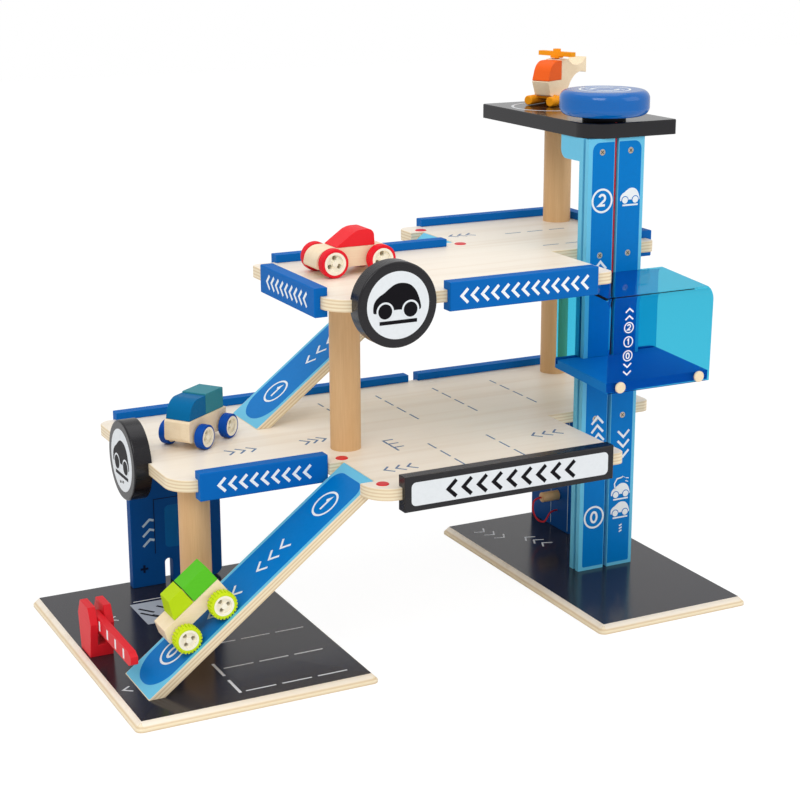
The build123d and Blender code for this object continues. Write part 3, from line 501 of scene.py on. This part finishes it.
def digit(number, x, y, high, width):
    """A plain 0, 1 or 2 drawn with one stroke."""
    half = high / 2
    wide = high * 0.30
    if number == 0:
        loop = [(x + wide * math.cos(2 * math.pi * k / 32), y + half * 0.95 * math.sin(2 * math.pi * k / 32))
                for k in range(32)]
        return stroke(loop, width, closed=True)
    if number == 1:
        return stroke([(x - wide * 0.7, y + half * 0.5), (x + wide * 0.1, y + half),
                       (x + wide * 0.1, y - half)], width)
    arc = [(x + wide * math.cos(math.radians(a)), y + half * 0.42 + wide * math.sin(math.radians(a)))
           for a in range(160, -41, -20)]
    return stroke(arc + [(x - wide, y - half + width / 2), (x + wide, y - half + width / 2)], width)


def smooth_loop(points, steps=6):
    """Closed outline that passes smoothly through the points."""
    count = len(points)
    loop = []
    for index in range(count):
        a, b, c, d = (Vector(points[(index + k) % count]) for k in (-1, 0, 1, 2))
        for step in range(steps):
            t = step / steps
            loop.append(tuple(0.5 * ((2 * b) + (c - a) * t + (2 * a - 5 * b + 4 * c - d) * t * t
                                     + (3 * b - a - 3 * c + d) * t ** 3)))
    return loop


def car_layers(x, y, wide):
    """Side view of a plain small car in three layers: body, round gaps, wheels."""
    s = wide / 51
    body = smooth_loop([(x + a * s, y + b * s) for a, b in (
        (-26.5, -3), (-25.5, 4), (-21, 9.5), (-15, 13), (-9.5, 17), (-3, 20.6), (4, 21.4), (12.5, 19.2),
        (19, 12.7), (23, 3), (24, -5), (18, -6), (3, -4.4), (-5, -4.4), (-19, -6), (-25.5, -6))])
    line = [(x + a * s, y + b * s) for a, b in ((-20, -18), (20, -18), (20, -14.4), (-20, -14.4))]
    gaps, wheels = ([circle(x + a * s, y - 5 * s, radius * s) for a in (-14, 13)] for radius in (9.2, 7.3))
    return [body, line], gaps, wheels


def paint_coat():
    return bpy.context.scene.garage_sizes.paint


def painted(name, shapes, place, finish, body="garage", coats=1.0):
    """Thin layer of paint: flat outlines in millimetres on the XY plane of the given place."""
    thick = paint_coat() * coats
    data = bpy.data.curves.new(name, "CURVE")
    data.dimensions = "2D"
    data.fill_mode = "BOTH"
    data.extrude = thick / 2
    for loop in shapes:
        spline = data.splines.new("POLY")
        spline.points.add(len(loop) - 1)
        for point, (x, y) in zip(spline.points, loop):
            point.co = (x * MM, y * MM, 0, 1)
        spline.use_cyclic_u = True
    piece = bpy.data.objects.new(name, data)
    bpy.context.collection.objects.link(piece)
    choose(piece)
    bpy.ops.object.convert(target="MESH")
    piece = bpy.context.view_layer.objects.active
    piece.data.transform(place @ Matrix.Translation((0, 0, thick / 2)))
    dress(piece, finish, body)
    return piece


def lifted(place, coats=1):
    """The same printing plane, some coats of paint higher."""
    return place @ Matrix.Translation((0, 0, paint_coat() * coats))


def car_print(name, x, y, wide, place, ink, ground):
    """The car's three layers, the middle one in the ground's colour."""
    for index, (shapes, finish) in enumerate(zip(car_layers(x, y, wide), (ink, ground, ink))):
        painted("%s_%d" % (name, index), shapes, lifted(place, index), finish)


def plane_at(origin, right, up):
    """Place whose X runs right and Y runs up; its Z is their cross product."""
    right, up = Vector(right).normalized(), Vector(up).normalized()
    out = right.cross(up)
    turn = Matrix((right, up, out)).transposed().to_4x4()
    return Matrix.Translation(origin) @ turn


def on_top(height):
    """Printing plane on a level face, its X and Y those of the garage in millimetres."""
    return plane_at(at(0, 0, height), (1, 0, 0), (0, 1, 0))


def front_face(node):
    """Printing plane of a node's front, its X and Y the garage's X and Z in millimetres."""
    return plane_at(Vector((CORNER.x, corners(node)[0].y, CORNER.z)), (1, 0, 0), (0, 0, 1))


def side_of(node, right):
    """Printing plane in the middle of a node's front, or of its left side where right runs along Y."""
    low, high = corners(node)
    middle = (low + high) / 2
    side = 1 if right[0] else 0
    middle[side] = low[side]
    return plane_at(middle, right, (0, 0, 1))


# ---- the operators: one for each piece or group of like pieces ----

class GARAGE_OT_stage(bpy.types.Operator):
    """Pale floor, soft lamps and the camera at the photograph's angle"""
    bl_idname = "garage.stage"
    bl_label = "Stage"

    def execute(self, context):
        world = bpy.data.worlds.new("Studio")
        context.scene.world = world
        world.use_nodes = True
        tree = world.node_tree
        back = tree.nodes["Background"]
        rays = tree.nodes.new("ShaderNodeLightPath")
        seen = tree.nodes.new("ShaderNodeMath")
        seen.operation = "MAXIMUM"
        tree.links.new(rays.outputs["Is Camera Ray"], seen.inputs[0])
        tree.links.new(rays.outputs["Is Transmission Ray"], seen.inputs[1])
        level = tree.nodes.new("ShaderNodeMapRange")
        level.inputs["To Min"].default_value = 0.72
        level.inputs["To Max"].default_value = 1.0
        tree.links.new(seen.outputs[0], level.inputs["Value"])
        tree.links.new(level.outputs[0], back.inputs["Strength"])
        back.inputs["Color"].default_value = (1, 1, 1, 1)

        bpy.ops.mesh.primitive_plane_add(size=12, location=(0, 0, -0.0002))
        floor = context.object
        floor.name = "studio_floor"
        settle(floor)
        made = Finish("Floor")
        made.set("Base Color", (0.9, 0.9, 0.9))
        made.set("Roughness", 0.9)
        made.set("Specular IOR Level", 0.0)
        glow = made.node("ShaderNodeEmission", None, {"Color": (1, 1, 1, 1), "Strength": 1.08})
        path = made.tree.nodes.new("ShaderNodeLightPath")
        mixed = made.tree.nodes.new("ShaderNodeMixShader")
        share = made.tree.nodes.new("ShaderNodeMath")
        share.operation = "MULTIPLY"
        share.inputs[1].default_value = 0.84
        made.tree.links.new(path.outputs["Is Camera Ray"], share.inputs[0])
        made.tree.links.new(share.outputs[0], mixed.inputs[0])
        made.tree.links.new(made.shader.outputs[0], mixed.inputs[1])
        made.tree.links.new(glow.socket, mixed.inputs[2])
        made.tree.links.new(mixed.outputs[0], made.tree.nodes["Material Output"].inputs["Surface"])
        floor.data.materials.append(made.material)

        for name, place, size, power in (
                ("key_lamp", (-1.6, -1.6, 2.4), 1.6, 30),
                ("fill_lamp", (2.0, -1.8, 1.6), 2.0, 14),
                ("top_lamp", (0.3, 0.6, 2.6), 2.0, 12)):
            lamp = bpy.data.lights.new(name, "AREA")
            lamp.size = size
            lamp.energy = power
            holder = bpy.data.objects.new(name, lamp)
            context.collection.objects.link(holder)
            holder.location = place
            aim = Vector((0, 0, 0.25)) - Vector(place)
            holder.rotation_euler = aim.to_track_quat("-Z", "Y").to_euler()

        yaw, pitch, roll = (math.radians(angle) for angle in (CAMERA_YAW, CAMERA_PITCH, CAMERA_ROLL))
        ahead = Vector((math.sin(yaw) * math.cos(pitch), math.cos(yaw) * math.cos(pitch), -math.sin(pitch)))
        side = Vector((math.cos(yaw), -math.sin(yaw), 0))
        above = side.cross(ahead)
        right = side * math.cos(roll) + above * math.sin(roll)
        over = right.cross(ahead)
        lens = bpy.data.cameras.new("camera")
        lens.sensor_width = SENSOR
        lens.lens = FOCUS_PIXELS / PICTURE_PIXELS * SENSOR
        camera = bpy.data.objects.new("camera", lens)
        context.collection.objects.link(camera)
        turn = Matrix((right, over, -ahead)).transposed().to_4x4()
        camera.matrix_world = Matrix.Translation(at(*CAMERA_PLACE)) @ turn
        context.scene.camera = camera
        context.scene.view_settings.view_transform = "Standard"
        return {"FINISHED"}


class GARAGE_OT_plates(bpy.types.Operator):
    """Two base plates with bevelled plywood edges and printed roads"""
    bl_idname = "garage.plates"
    bl_label = "Base plates"

    def execute(self, context):
        colours = context.scene.garage_colours
        road = ply_wood("Road plate", colours, BASE / 2, BASE, 5, rough=0.25, top=colours.road)
        for node in ("base_left", "base_right"):
            soften(node, road, 0)
        white = print_paint("Road print", srgb(215, 217, 220))
        grey = print_paint("Road print grey", srgb(172, 180, 192))
        ink = print_paint("Road ink", colours.black)
        lines = []
        for y, first, count in ((24.5, 118, 3), (83, 118, 3), (144, 123, 3)):
            for k in range(count):
                lines += stroke([(first + 38 * k, y), (first + 31.5 + 38 * k, y)], 1.9)
        for y0, y1 in ((23, 55), (66, 98)):
            lines += stroke([(112, y0), (112, y1)], 3.0)
        for x, y in ((17, 79.5), (60, 255)):
            lines += chevron(x, y, 8, 12, 2.0)
        lines += stroke([(94, 290), (127, 290)], 1.6)
        painted("base_left_lines", lines, on_top(BASE), white)
        bay = [(88, 284), (88, 224), (128, 224), (128, 284)]
        painted("base_left_bay", [bay], on_top(BASE), grey)
        bars = []
        for x, y in ((93, 262), (91, 250), (101, 240), (113, 262), (116, 246)):
            bars += stroke([(x, y + 7), (x + 12, y - 9)], 3.2)
        painted("base_left_bars", bars, lifted(on_top(BASE)), ink)
        arrows = []
        for x, y, turn in ((541, 317, 113), (547, 303, 113), (553, 289, 113),
                           (579, 271, -67), (583, 258, -67), (587, 245, -67)):
            arrows += chevron(x, y, 8, 18, 2.0, turn)
        painted("base_right_arrows", arrows, on_top(BASE), white)
        return {"FINISHED"}


class GARAGE_OT_decks(bpy.types.Operator):
    """Two plywood decks and the black roof, with their printed lines"""
    bl_idname = "garage.decks"
    bl_label = "Decks and roof"

    def execute(self, context):
        colours = context.scene.garage_colours
        low, high = corners("deck_lower")
        thick = (high.z - low.z) / MM
        for node, top in (("deck_lower", DECK_1), ("deck_upper", DECK_2)):
            soften(node, ply_wood("Ply " + node, colours, top - thick / 2, thick, 7), 0.0006, 2)
        soften("roof", painted_wood("Roof black", colours.black, "Y", 0.1, 0.5, 0.00002), 0.001, 3)
        blue = print_paint("Deck print", colours.print_blue)
        lines = []
        for x, y0, y1 in ((333, 219, 327), (405.5, 219, 327), (479, 219, 327), (556, 219, 327),
                          (372, 52, 133), (442, 52, 133)):
            y = y0
            while y < y1 - 8:
                lines += stroke([(x, y), (x, min(y + 22, y1))], 1.8)
                y += 31
        for x, y, turn in ((176, 198, 180), (188, 198, 180), (200, 198, 180),
                           (260, 196, 180), (270, 197, 180), (280, 198, 180),
                           (337, 160, -45), (337, 147, -45), (337, 134, -45),
                           (295, 72, 0), (308, 72, 0), (321, 72, 0),
                           (488, 108, 0), (501, 108, 0), (514, 108, 0)):
            lines += chevron(x, y, 8, 17, 2.2, turn)
        painted("deck_lower_lines", lines, on_top(DECK_1), blue)
        lines = []
        for y, x0, x1 in ((281, 548, 642), (200, 549, 600)):
            x = x0
            while x < x1 - 8:
                lines += stroke([(x, y), (x + 20, y)], 1.8)
                x += 29
        for x in (488, 499, 510):
            lines += chevron(x, 296, 8, 15, 2.2)
        painted("deck_upper_lines", lines, on_top(DECK_2), blue)
        white = print_paint("Roof print", srgb(215, 218, 220))
        painted("roof_ring", ring(627, 315, 45, 3), on_top(ROOF), white)
        return {"FINISHED"}


class GARAGE_OT_posts(bpy.types.Operator):
    """Four round beech posts"""
    bl_idname = "garage.posts"
    bl_label = "Posts"

    def execute(self, context):
        colours = context.scene.garage_colours
        beech = bare_wood("Post beech", colours.beech, "Z", contrast=1.0)
        for node in ("column_left", "column_mid", "column_rear_lower", "column_rear_upper"):
            soften(node, beech, 0)
        return {"FINISHED"}


class GARAGE_OT_guards(bpy.types.Operator):
    """Grooved blue guards along the decks' edges, with their chevrons"""
    bl_idname = "garage.guards"
    bl_label = "Guards"

    def execute(self, context):
        colours = context.scene.garage_colours
        blue_x = painted_wood("Guard blue", colours.guard, "X")
        blue_y = painted_wood("Guard blue across", colours.guard, "Y")
        nodes = [node for node in frame["nodes"] if node.startswith("guard_")]
        for node in nodes:
            along_y = node in ("guard_upper_left", "guard_upper_right")
            soften(node, blue_y if along_y else blue_x, 0.0007, 3)
        white = print_paint("Guard print", colours.print_white)
        for node, count, right in (("guard_lower_front", 9, (1, 0, 0)), ("guard_upper_front", 13, (1, 0, 0)),
                                   ("guard_upper_left", 9, (0, -1, 0))):
            shapes = []
            for k in range(count):
                shapes += chevron((k - (count - 1) / 2) * 11.5, 0, 7, 14, 3.0)
            painted(node + "_chevrons", shapes, side_of(node, right), white)
        return {"FINISHED"}


class GARAGE_OT_signs(bpy.types.Operator):
    """Black sign board and two round signs with a plain car on each"""
    bl_idname = "garage.signs"
    bl_label = "Signs"

    def execute(self, context):
        colours = context.scene.garage_colours
        black = painted_wood("Sign black", colours.black, "X", 0.22, 0.4, 0.00004, 1.4)
        for node in ("sign_board", "sign_round_front", "sign_round_left"):
            soften(node, black, 0.0012, 3)
        white = print_paint("Sign white", srgb(226, 230, 233))
        ink = print_paint("Sign ink", colours.black)
        low, high = corners("sign_board")
        place = side_of("sign_board", (1, 0, 0))
        half = (high.x - low.x) / MM / 2 - 7
        painted("sign_board_panel", [round_box(-half, -12, half, 12, 5)], place, white)
        shapes = []
        for k in range(9):
            shapes += chevron((k - 4) * 17, 0, 9, 17, 4.0)
        painted("sign_board_marks", shapes, lifted(place), ink)
        for node, right in (("sign_round_front", (1, 0, 0)), ("sign_round_left", (0, -1, 0))):
            place = side_of(node, right)
            painted(node + "_panel", [circle(0, 0, 33, 72)], place, white)
            car_print(node + "_car", 0, 0, 51, lifted(place), ink, white)
        marks = [circle(4, -22.5, 1.5, 16), circle(-1, -23.5, 1.5, 16), circle(-6, -24.5, 1.5, 16)]
        painted("sign_left_marks", marks, lifted(side_of("sign_round_left", (0, -1, 0))), ink)
        return {"FINISHED"}


class GARAGE_OT_ramps(bpy.types.Operator):
    """Two sloping ramps with a printed blue road, and the red plugs beside them"""
    bl_idname = "garage.ramps"
    bl_label = "Ramps"

    def execute(self, context):
        colours = context.scene.garage_colours
        sky = painted_wood("Ramp border", colours.sky, "X", 0.35, 0.25)
        road = print_paint("Ramp road", colours.panel, 0.3)
        white = print_paint("Ramp print", colours.print_white)
        length = RAMP_RUN / math.cos(SLOPE)
        for node in ("ramp_lower", "ramp_upper"):
            low, high = corners(node)
            soften(node, self.edge_finish(node, colours), 0.0004, 2)
            half = (high.y - low.y) / MM / 2
            foot = Vector((low.x, (low.y + high.y) / 2, low.z))
            up = (math.cos(SLOPE), 0, math.sin(SLOPE))
            place = plane_at(foot, up, (0, 1, 0))
            painted(node + "_border", [round_box(1, -half + 0.8, length - 0.5, half - 0.8, 2)], place, sky)
            loop = round_box(7.5, -half + 5.5, length - 10, half - 5.5, (14, 28, 28, 14), 12)
            painted(node + "_road", [loop], lifted(place), road)
            shapes = ring(255.3, 0, 15, 2.4) + ring(48.5, 0, 15, 2.4)
            for s in (95, 111, 127, 161, 177, 193):
                shapes += chevron(s + 4.5, -1.5, 9, 18, 2.6)
            number = 0 if node == "ramp_lower" else 1
            for loops, s in ((digit(1, 0, 0, 15, 3.0), 255.3), (digit(number, 0, 0, 15, 3.0), 48.5)):
                shapes += [[(s + y, -x) for x, y in loop] for loop in loops]
            painted(node + "_marks", shapes, lifted(place, 2), white)
        soften("ramp_plugs", painted_wood("Plug red", colours.red, "X", 0.3, 0.25), 0.0003, 2)
        return {"FINISHED"}

    def edge_finish(self, node, colours):
        """Plywood whose layers run along the slope."""
        made = Finish("Ply " + node)
        x, _, z = made.axes(made.place)
        low = corners(node)[0]
        across = (z - low.z) * math.cos(SLOPE) - (x - low.x) * math.sin(SLOPE)
        stripe = (across * (math.pi / (1.6 * MM))).wave() * 0.5 + 0.5
        speck = made.noise((500, 500, 500), 3.0, 0.7)
        tone = made.blend(stripe.between(0.35, 0.9) * 0.6, colours.ply_edge, colours.ply_line)
        tone = made.blend(speck.between(0.55, 0.85) * 0.25, tone, shade(colours.ply_line, 0.7))
        made.set("Base Color", tone)
        made.set("Roughness", 0.45 + speck * 0.1)
        return made.bump(stripe, 0.0001, 0.3)


class GARAGE_OT_tower(bpy.types.Operator):
    """Slotted lift tower with printed panels and its screws"""
    bl_idname = "garage.tower"
    bl_label = "Lift tower"

    def execute(self, context):
        colours = context.scene.garage_colours
        sky = painted_wood("Tower sky", colours.sky, "Z", 0.36, 0.25)
        deep = painted_wood("Tower core blue", colours.guard, "Z")
        for node in ("tower_board_left", "tower_board_right", "tower_back"):
            soften(node, sky, 0.0008, 2)
        soften("tower_core", deep, 0)
        panel = print_paint("Tower panel", colours.panel, 0.3)
        white = print_paint("Tower print", colours.print_white)
        face = front_face("tower_board_left")
        for node, border in (("tower_board_left", (5.3, 0.6)), ("tower_board_right", (0.6, 4.0))):
            low, high = (corner - CORNER for corner in corners(node))
            x0, x1 = low.x / MM + border[0], high.x / MM - border[1]
            radii = (0.3, 9, 2, 0.3) if node == "tower_board_left" else (9, 0.3, 0.3, 2)
            loop = round_box(x0, low.z / MM + 4, x1, high.z / MM - 4, radii)
            heads = [circle(x, z, SCREW_HEAD, 32)[::-1] for x, z in SCREWS if x0 < x < x1]
            painted(node + "_panel", [loop] + heads, face, panel)
        top = lifted(face)
        shapes = []
        for number, x, z in ((2, 590.4, 430.5), (0, 591.1, 71.4)):
            shapes += ring(x, z, 12.2, 2.2) + digit(number, x, z, 12.5, 2.6)
        for x, z in ((590.5, 360), (590.5, 350), (592.5, 185), (592.5, 175), (594.0, 165)):
            shapes += chevron(x, z, 8, 15, 2.6, -90)
        for z in (164.8, 153.4, 141.6):
            shapes += chevron(627.5, z, 7.5, 15, 2.6, 90)
        lead = [(618.5, 101), (617.5, 107), (621, 112.5), (628, 113.5)]
        shapes += stroke(lead, 1.5) + stroke([(627, 113.5), (633, 110)], 3.6)
        shapes += stroke([(633, 112), (636.5, 111.4)], 1.0) + stroke([(632, 108.8), (635.6, 107.4)], 1.0)
        for z in (56.5, 53, 49.5):
            shapes += stroke([(625.5, z - 0.8), (629, z + 0.8)], 1.6)
        painted("tower_marks", shapes, top, white)
        for index, (x, z) in enumerate(((626.5, 431.5), (626.4, 96.0), (626.4, 74.0))):
            car_print("tower_car_%d" % index, x, z, 25, top, white, panel)
        soften("screws", metal("Screw steel", srgb(196, 186, 170)), 0.0003, 2)
        # painted shade: dark crosses on the screw heads stand in for the shade inside their cross recesses
        ink = print_paint("Screw slot shade", srgb(60, 45, 40))
        crosses = []
        for x, z in SCREWS:
            crosses += stroke([(x - 1.7, z - 1.7), (x + 1.7, z + 1.7)], 0.8)
            crosses += stroke([(x - 1.7, z + 1.7), (x - 0.4, z + 0.4)], 0.8)
            crosses += stroke([(x + 0.4, z - 0.4), (x + 1.7, z - 1.7)], 0.8)
        painted("screw_slot_shade", crosses, face, ink, coats=0.5)
        return {"FINISHED"}


class GARAGE_OT_lift(bpy.types.Operator):
    """Clear cabin with its floor and pegs, the cord, and the knob that winds it"""
    bl_idname = "garage.lift"
    bl_label = "Lift"

    def execute(self, context):
        colours = context.scene.garage_colours
        soften("cabin_sheet", clear_sheet("Cabin sheet", srgb(72, 200, 232)), 0.0004, 2)
        soften("cabin_floor", painted_wood("Cabin floor blue", srgb(12, 120, 200), "X"), 0.0007, 2)
        soften("cabin_pegs", bare_wood("Peg beech", colours.pale_wood, "Y"), 0.0003, 2)
        soften("knob", painted_wood("Knob blue", srgb(0, 98, 178), "X", 0.08, 0.4, 0.00001), 0)
        # the spindle's black is partly its own colour and partly painted shade for the shadow under the knob
        soften("knob_spindle", painted_wood("Spindle black and shade", colours.black, "X"), 0)
        soften("lift_cord", twisted_cord("Cord red", srgb(215, 25, 45)), 0)
        white = print_paint("Lift print", colours.print_white)
        lean = 2.2 / 99.4                   # the sheet's front leans back this much as it rises
        origin = at(565.8, 0, 300)
        origin.y = corners("cabin_sheet")[0].y + lean * 32 * MM
        place = plane_at(origin, (1, 0, 0), (0, -lean, 1))
        shapes = []
        for number, z in ((2, 13.5), (1, -1.8), (0, -16.9)):
            shapes += ring(0, z, 5.4, 1.2) + digit(number, 0, z, 6.2, 1.3)
        for z, turn in ((31.8, -90), (24.0, -90), (-27.3, 90), (-35.5, 90)):
            shapes += chevron(0, z, 4, 9.5, 1.6, turn)
        painted("cabin_marks", shapes, place, white, "cabin")
        low, high = corners("knob")
        place = plane_at((low + high) / 2 + Vector((0, 0, (high.z - low.z) / 2)), (1, 0, 0), (0, 1, 0))
        shapes = ring(0, 0, 27, 2.2)
        for start in (20, 200):
            arc = [(15 * math.cos(math.radians(start + a)), 15 * math.sin(math.radians(start + a)))
                   for a in range(0, 121, 12)]
            shapes += stroke(arc, 3.0)
            tip = math.radians(start + 128)
            shapes += chevron(15 * math.cos(tip), 15 * math.sin(tip), 6, 11, 2.6, start + 128 - 90)
        painted("knob_marks", shapes, place, white, "knob")
        return {"FINISHED"}


class GARAGE_OT_barrier(bpy.types.Operator):
    """Red barrier with its striped arm"""
    bl_idname = "garage.barrier"
    bl_label = "Barrier"

    def execute(self, context):
        colours = context.scene.garage_colours
        red = painted_wood("Barrier red", colours.red, "Y", 0.4, 0.2)
        soften("barrier_base", red, 0.0008, 3)
        soften("barrier_arm", red, 0.0006, 2)
        white = print_paint("Stripe white", colours.print_white)
        low, high = corners("barrier_arm")
        shapes = []
        for k in range(4):
            out = 22 + 25 * k
            shapes += stroke([(-out, 5), (-out, -5)], 4.2)
        place = plane_at((low.x + 6.8 * MM, low.y, (low.z + high.z) / 2), (0, -1, 0), (0, 0, 1))
        painted("barrier_arm_stripes", shapes, place, white, "barrier_arm")
        return {"FINISHED"}


class GARAGE_OT_boards(bpy.types.Operator):
    """Charging wall with its plug and lead, and the service board"""
    bl_idname = "garage.boards"
    bl_label = "Charging wall and service board"

    def execute(self, context):
        colours = context.scene.garage_colours
        blue = painted_wood("Board blue", colours.board, "Z")
        soften("charger_wall", blue, 0.0008, 2)
        soften("service_board", blue, 0.0008, 2)
        soften("charger_plug", bare_wood("Plug beech", colours.beech, "X"), 0.0003, 2)
        self.lead(context, twisted_cord("Lead red", srgb(205, 20, 40)))
        white = print_paint("Board print", srgb(178, 198, 214))
        ink = print_paint("Board ink", srgb(12, 24, 52))
        teal = print_paint("Board window", srgb(12, 96, 158))
        face = front_face("service_board")
        shapes = []
        for z in (85, 73.5, 62):
            shapes += stroke([(120.5, z - 6), (128.5, z + 1.5), (133.5, z)], 2.6)
        painted("service_marks", shapes, face, white)
        painted("service_window", [round_box(146, 51, 170, 100, 5)], face, teal)
        shapes = stroke([(116, 30), (125, 30)], 2.6) + stroke([(120.5, 34.5), (120.5, 31.4)], 2.6)
        shapes += stroke([(120.5, 28.6), (120.5, 25.5)], 2.6)
        shapes += stroke([(134, 46), (134, 109), (178, 109), (178, 46)], 0.9)
        painted("service_lines", shapes, face, ink)
        low = corners("charger_wall")[0]
        face = plane_at(Vector((low.x, CORNER.y, CORNER.z)), (0, -1, 0), (0, 0, 1))
        rail = stroke([(-262, 12), (-262, 170)], 1.0) + stroke([(-300, 12), (-300, 60)], 1.0)
        painted("charger_lines", rail, face, white)
        return {"FINISHED"}

    def lead(self, context, finish):
        """Limp red lead that hangs from the wall in a loop to the plug."""
        route = [at(*point) for point in (
            (605.5, 286, 51.2), (596.5, 286, 51.2), (590.5, 281.5, 44.2), (590.5, 277.5, 34.2),
            (596, 275, 26), (605, 276.5, 23), (612.5, 281.5, 27.5), (620, 286, 32), (628, 286, 32))]
        data = bpy.data.curves.new("charger_lead", "CURVE")
        data.dimensions = "3D"
        data.bevel_depth = LEAD_WIDTH / 2 * MM
        data.bevel_resolution = 4
        data.use_fill_caps = True
        spline = data.splines.new("NURBS")
        spline.points.add(len(route) - 1)
        for point, place in zip(spline.points, route):
            point.co = (*place, 1)
        spline.order_u = 3
        spline.use_endpoint_u = True
        spline.resolution_u = 8
        cord = bpy.data.objects.new("charger_lead", data)
        context.collection.objects.link(cord)
        dress(cord, finish, "garage", slot_of_node("charger_cord"))
        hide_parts("charger_cord")


class GARAGE_OT_cars(bpy.types.Operator):
    """Three wooden cars with turning wheels"""
    bl_idname = "garage.cars"
    bl_label = "Cars"

    def execute(self, context):
        colours = context.scene.garage_colours
        pale = bare_wood("Car wood", colours.pale_wood, "X", contrast=0.6)
        for car in ("red_car", "blue_car", "green_car"):
            soften(car + "_body", pale, 0.0008, 3)
        soften("red_car_canopy", painted_wood("Canopy red", srgb(236, 44, 52), "X", 0.35), 0.001, 3)
        soften("blue_car_cab", painted_wood("Cab teal", srgb(0, 104, 158), "X", 0.35), 0.0008, 3)
        soften("blue_car_box", painted_wood("Load teal", srgb(56, 136, 150), "X", 0.35), 0.0008, 3)
        soften("green_car_cab", painted_wood("Cab lime", srgb(182, 212, 22), "X"), 0.0008, 3)
        soften("green_car_box", painted_wood("Load green", srgb(90, 192, 40), "X"), 0.0008, 3)
        hub = painted_wood("Hub white", colours.hub, "X", 0.4)
        for car, tyre in (("red_car", srgb(232, 28, 44)), ("blue_car", srgb(0, 76, 172)),
                          ("green_car", srgb(205, 226, 24))):
            finish = painted_wood("Tyre " + car, tyre, "X", 0.5, 0.15)
            for axle in ("_wheels_front", "_wheels_rear"):
                self.wheels(car + axle, hub, finish, knobbly=car == "green_car")
        return {"FINISHED"}

    def wheels(self, node, hub, tyre, knobbly):
        """Two materials: hubs with their axle, and the tyres found by their radius."""
        piece = soften(node, hub, 0)
        piece.data.materials.append(tyre.material)
        body = body_of_node(node)
        joint = next(item for item in frame["record"]["behaviour"]["joints"] if item["child"] == body)
        centre, axis = Vector(joint["pos_m"]), Vector(joint["axis"]).normalized()

        def out_from_axle(place):
            arm = place - centre
            return (arm - axis * arm.dot(axis)).length

        radius = max(out_from_axle(vertex.co) for vertex in piece.data.vertices)
        self.choose_ring(piece, lambda place: out_from_axle(place) > radius - 0.0002)
        bpy.ops.mesh.select_linked()
        piece.active_material_index = 1
        bpy.ops.object.material_slot_assign()
        bpy.ops.object.mode_set(mode="OBJECT")
        if knobbly:
            self.choose_ring(piece, lambda place: out_from_axle(place) > radius - 0.0014)
            bpy.ops.transform.resize(value=(0.925, 1, 0.925), center_override=centre)
            bpy.ops.object.mode_set(mode="OBJECT")
            self.knobs(piece, node, centre, radius, tyre, body)

    def choose_ring(self, piece, wanted):
        choose(piece)
        bpy.ops.object.mode_set(mode="EDIT")
        bpy.ops.mesh.select_all(action="DESELECT")
        bpy.ops.mesh.select_mode(type="VERT")
        mesh = bmesh.from_edit_mesh(piece.data)
        for vertex in mesh.verts:
            vertex.select = wanted(vertex.co)
        mesh.select_flush_mode()
        bmesh.update_edit_mesh(piece.data)

    def knobs(self, piece, node, centre, radius, tyre, body):
        """Small blocks round both tyres of an axle that lies along Y."""
        low, high = corners(node)
        wide = 0.010                        # of a tyre
        count = 24                          # blocks round a tyre
        bpy.ops.mesh.primitive_cube_add(
            size=1, location=(0, 0, radius - 0.0009), scale=(0.0021, wide - 0.0012, 0.0017))
        bpy.ops.object.transform_apply(location=True, rotation=True, scale=True)
        block = bpy.context.object
        copies = []
        for y in (low.y + wide / 2, high.y - wide / 2):
            for k in range(count):
                copy = bpy.data.objects.new("%s_knob" % node, block.data.copy())
                bpy.context.collection.objects.link(copy)
                spin = Matrix.Rotation(2 * math.pi * k / count, 4, "Y")
                copy.data.transform(Matrix.Translation((centre.x, y, centre.z)) @ spin)
                copies.append(copy)
        bpy.data.objects.remove(block)
        choose(*copies)
        bpy.ops.object.join()
        joined = bpy.context.object
        joined.name = node + "_knobs"
        dress(joined, tyre, body)


class GARAGE_OT_helicopter(bpy.types.Operator):
    """Wooden helicopter on its two skids"""
    bl_idname = "garage.helicopter"
    bl_label = "Helicopter"

    def execute(self, context):
        colours = context.scene.garage_colours
        amber = painted_wood("Amber wood", colours.amber, "X", 0.35)
        soften("helicopter_skids", amber, 0)
        soften("helicopter_rotor", amber, 0.0005, 2)
        pale = bare_wood("Helicopter wood", colours.pale_wood, "X", contrast=0.6)
        soften("helicopter_body", pale, 0.0008, 3)
        soften("helicopter_canopy", painted_wood("Canopy orange", srgb(242, 100, 34), "X", 0.35), 0.001, 3)
        return {"FINISHED"}


class GARAGE_PT_panel(bpy.types.Panel):
    """Lists the garage's operators"""
    bl_idname = "GARAGE_PT_panel"
    bl_label = "Toy parking garage"
    bl_space_type = "VIEW_3D"
    bl_region_type = "UI"
    bl_category = "Garage"

    def draw(self, context):
        for operator in OPERATORS:
            self.layout.operator(operator.bl_idname)


OPERATORS = (
    GARAGE_OT_stage, GARAGE_OT_plates, GARAGE_OT_decks, GARAGE_OT_posts, GARAGE_OT_guards, GARAGE_OT_signs,
    GARAGE_OT_ramps, GARAGE_OT_tower, GARAGE_OT_lift, GARAGE_OT_barrier, GARAGE_OT_boards, GARAGE_OT_cars,
    GARAGE_OT_helicopter,
)
CLASSES = (GarageColours, GarageSizes) + OPERATORS + (GARAGE_PT_panel,)


def register():
    for item in CLASSES:
        bpy.utils.register_class(item)
    bpy.types.Scene.garage_colours = bpy.props.PointerProperty(type=GarageColours)
    bpy.types.Scene.garage_sizes = bpy.props.PointerProperty(type=GarageSizes)


def unregister():
    del bpy.types.Scene.garage_sizes
    del bpy.types.Scene.garage_colours
    for item in reversed(CLASSES):
        bpy.utils.unregister_class(item)


def main():
    register()
    for operator in OPERATORS:
        group, name = operator.bl_idname.split(".")
        getattr(getattr(bpy.ops, group), name)()


if __name__ == "__main__":
    main()
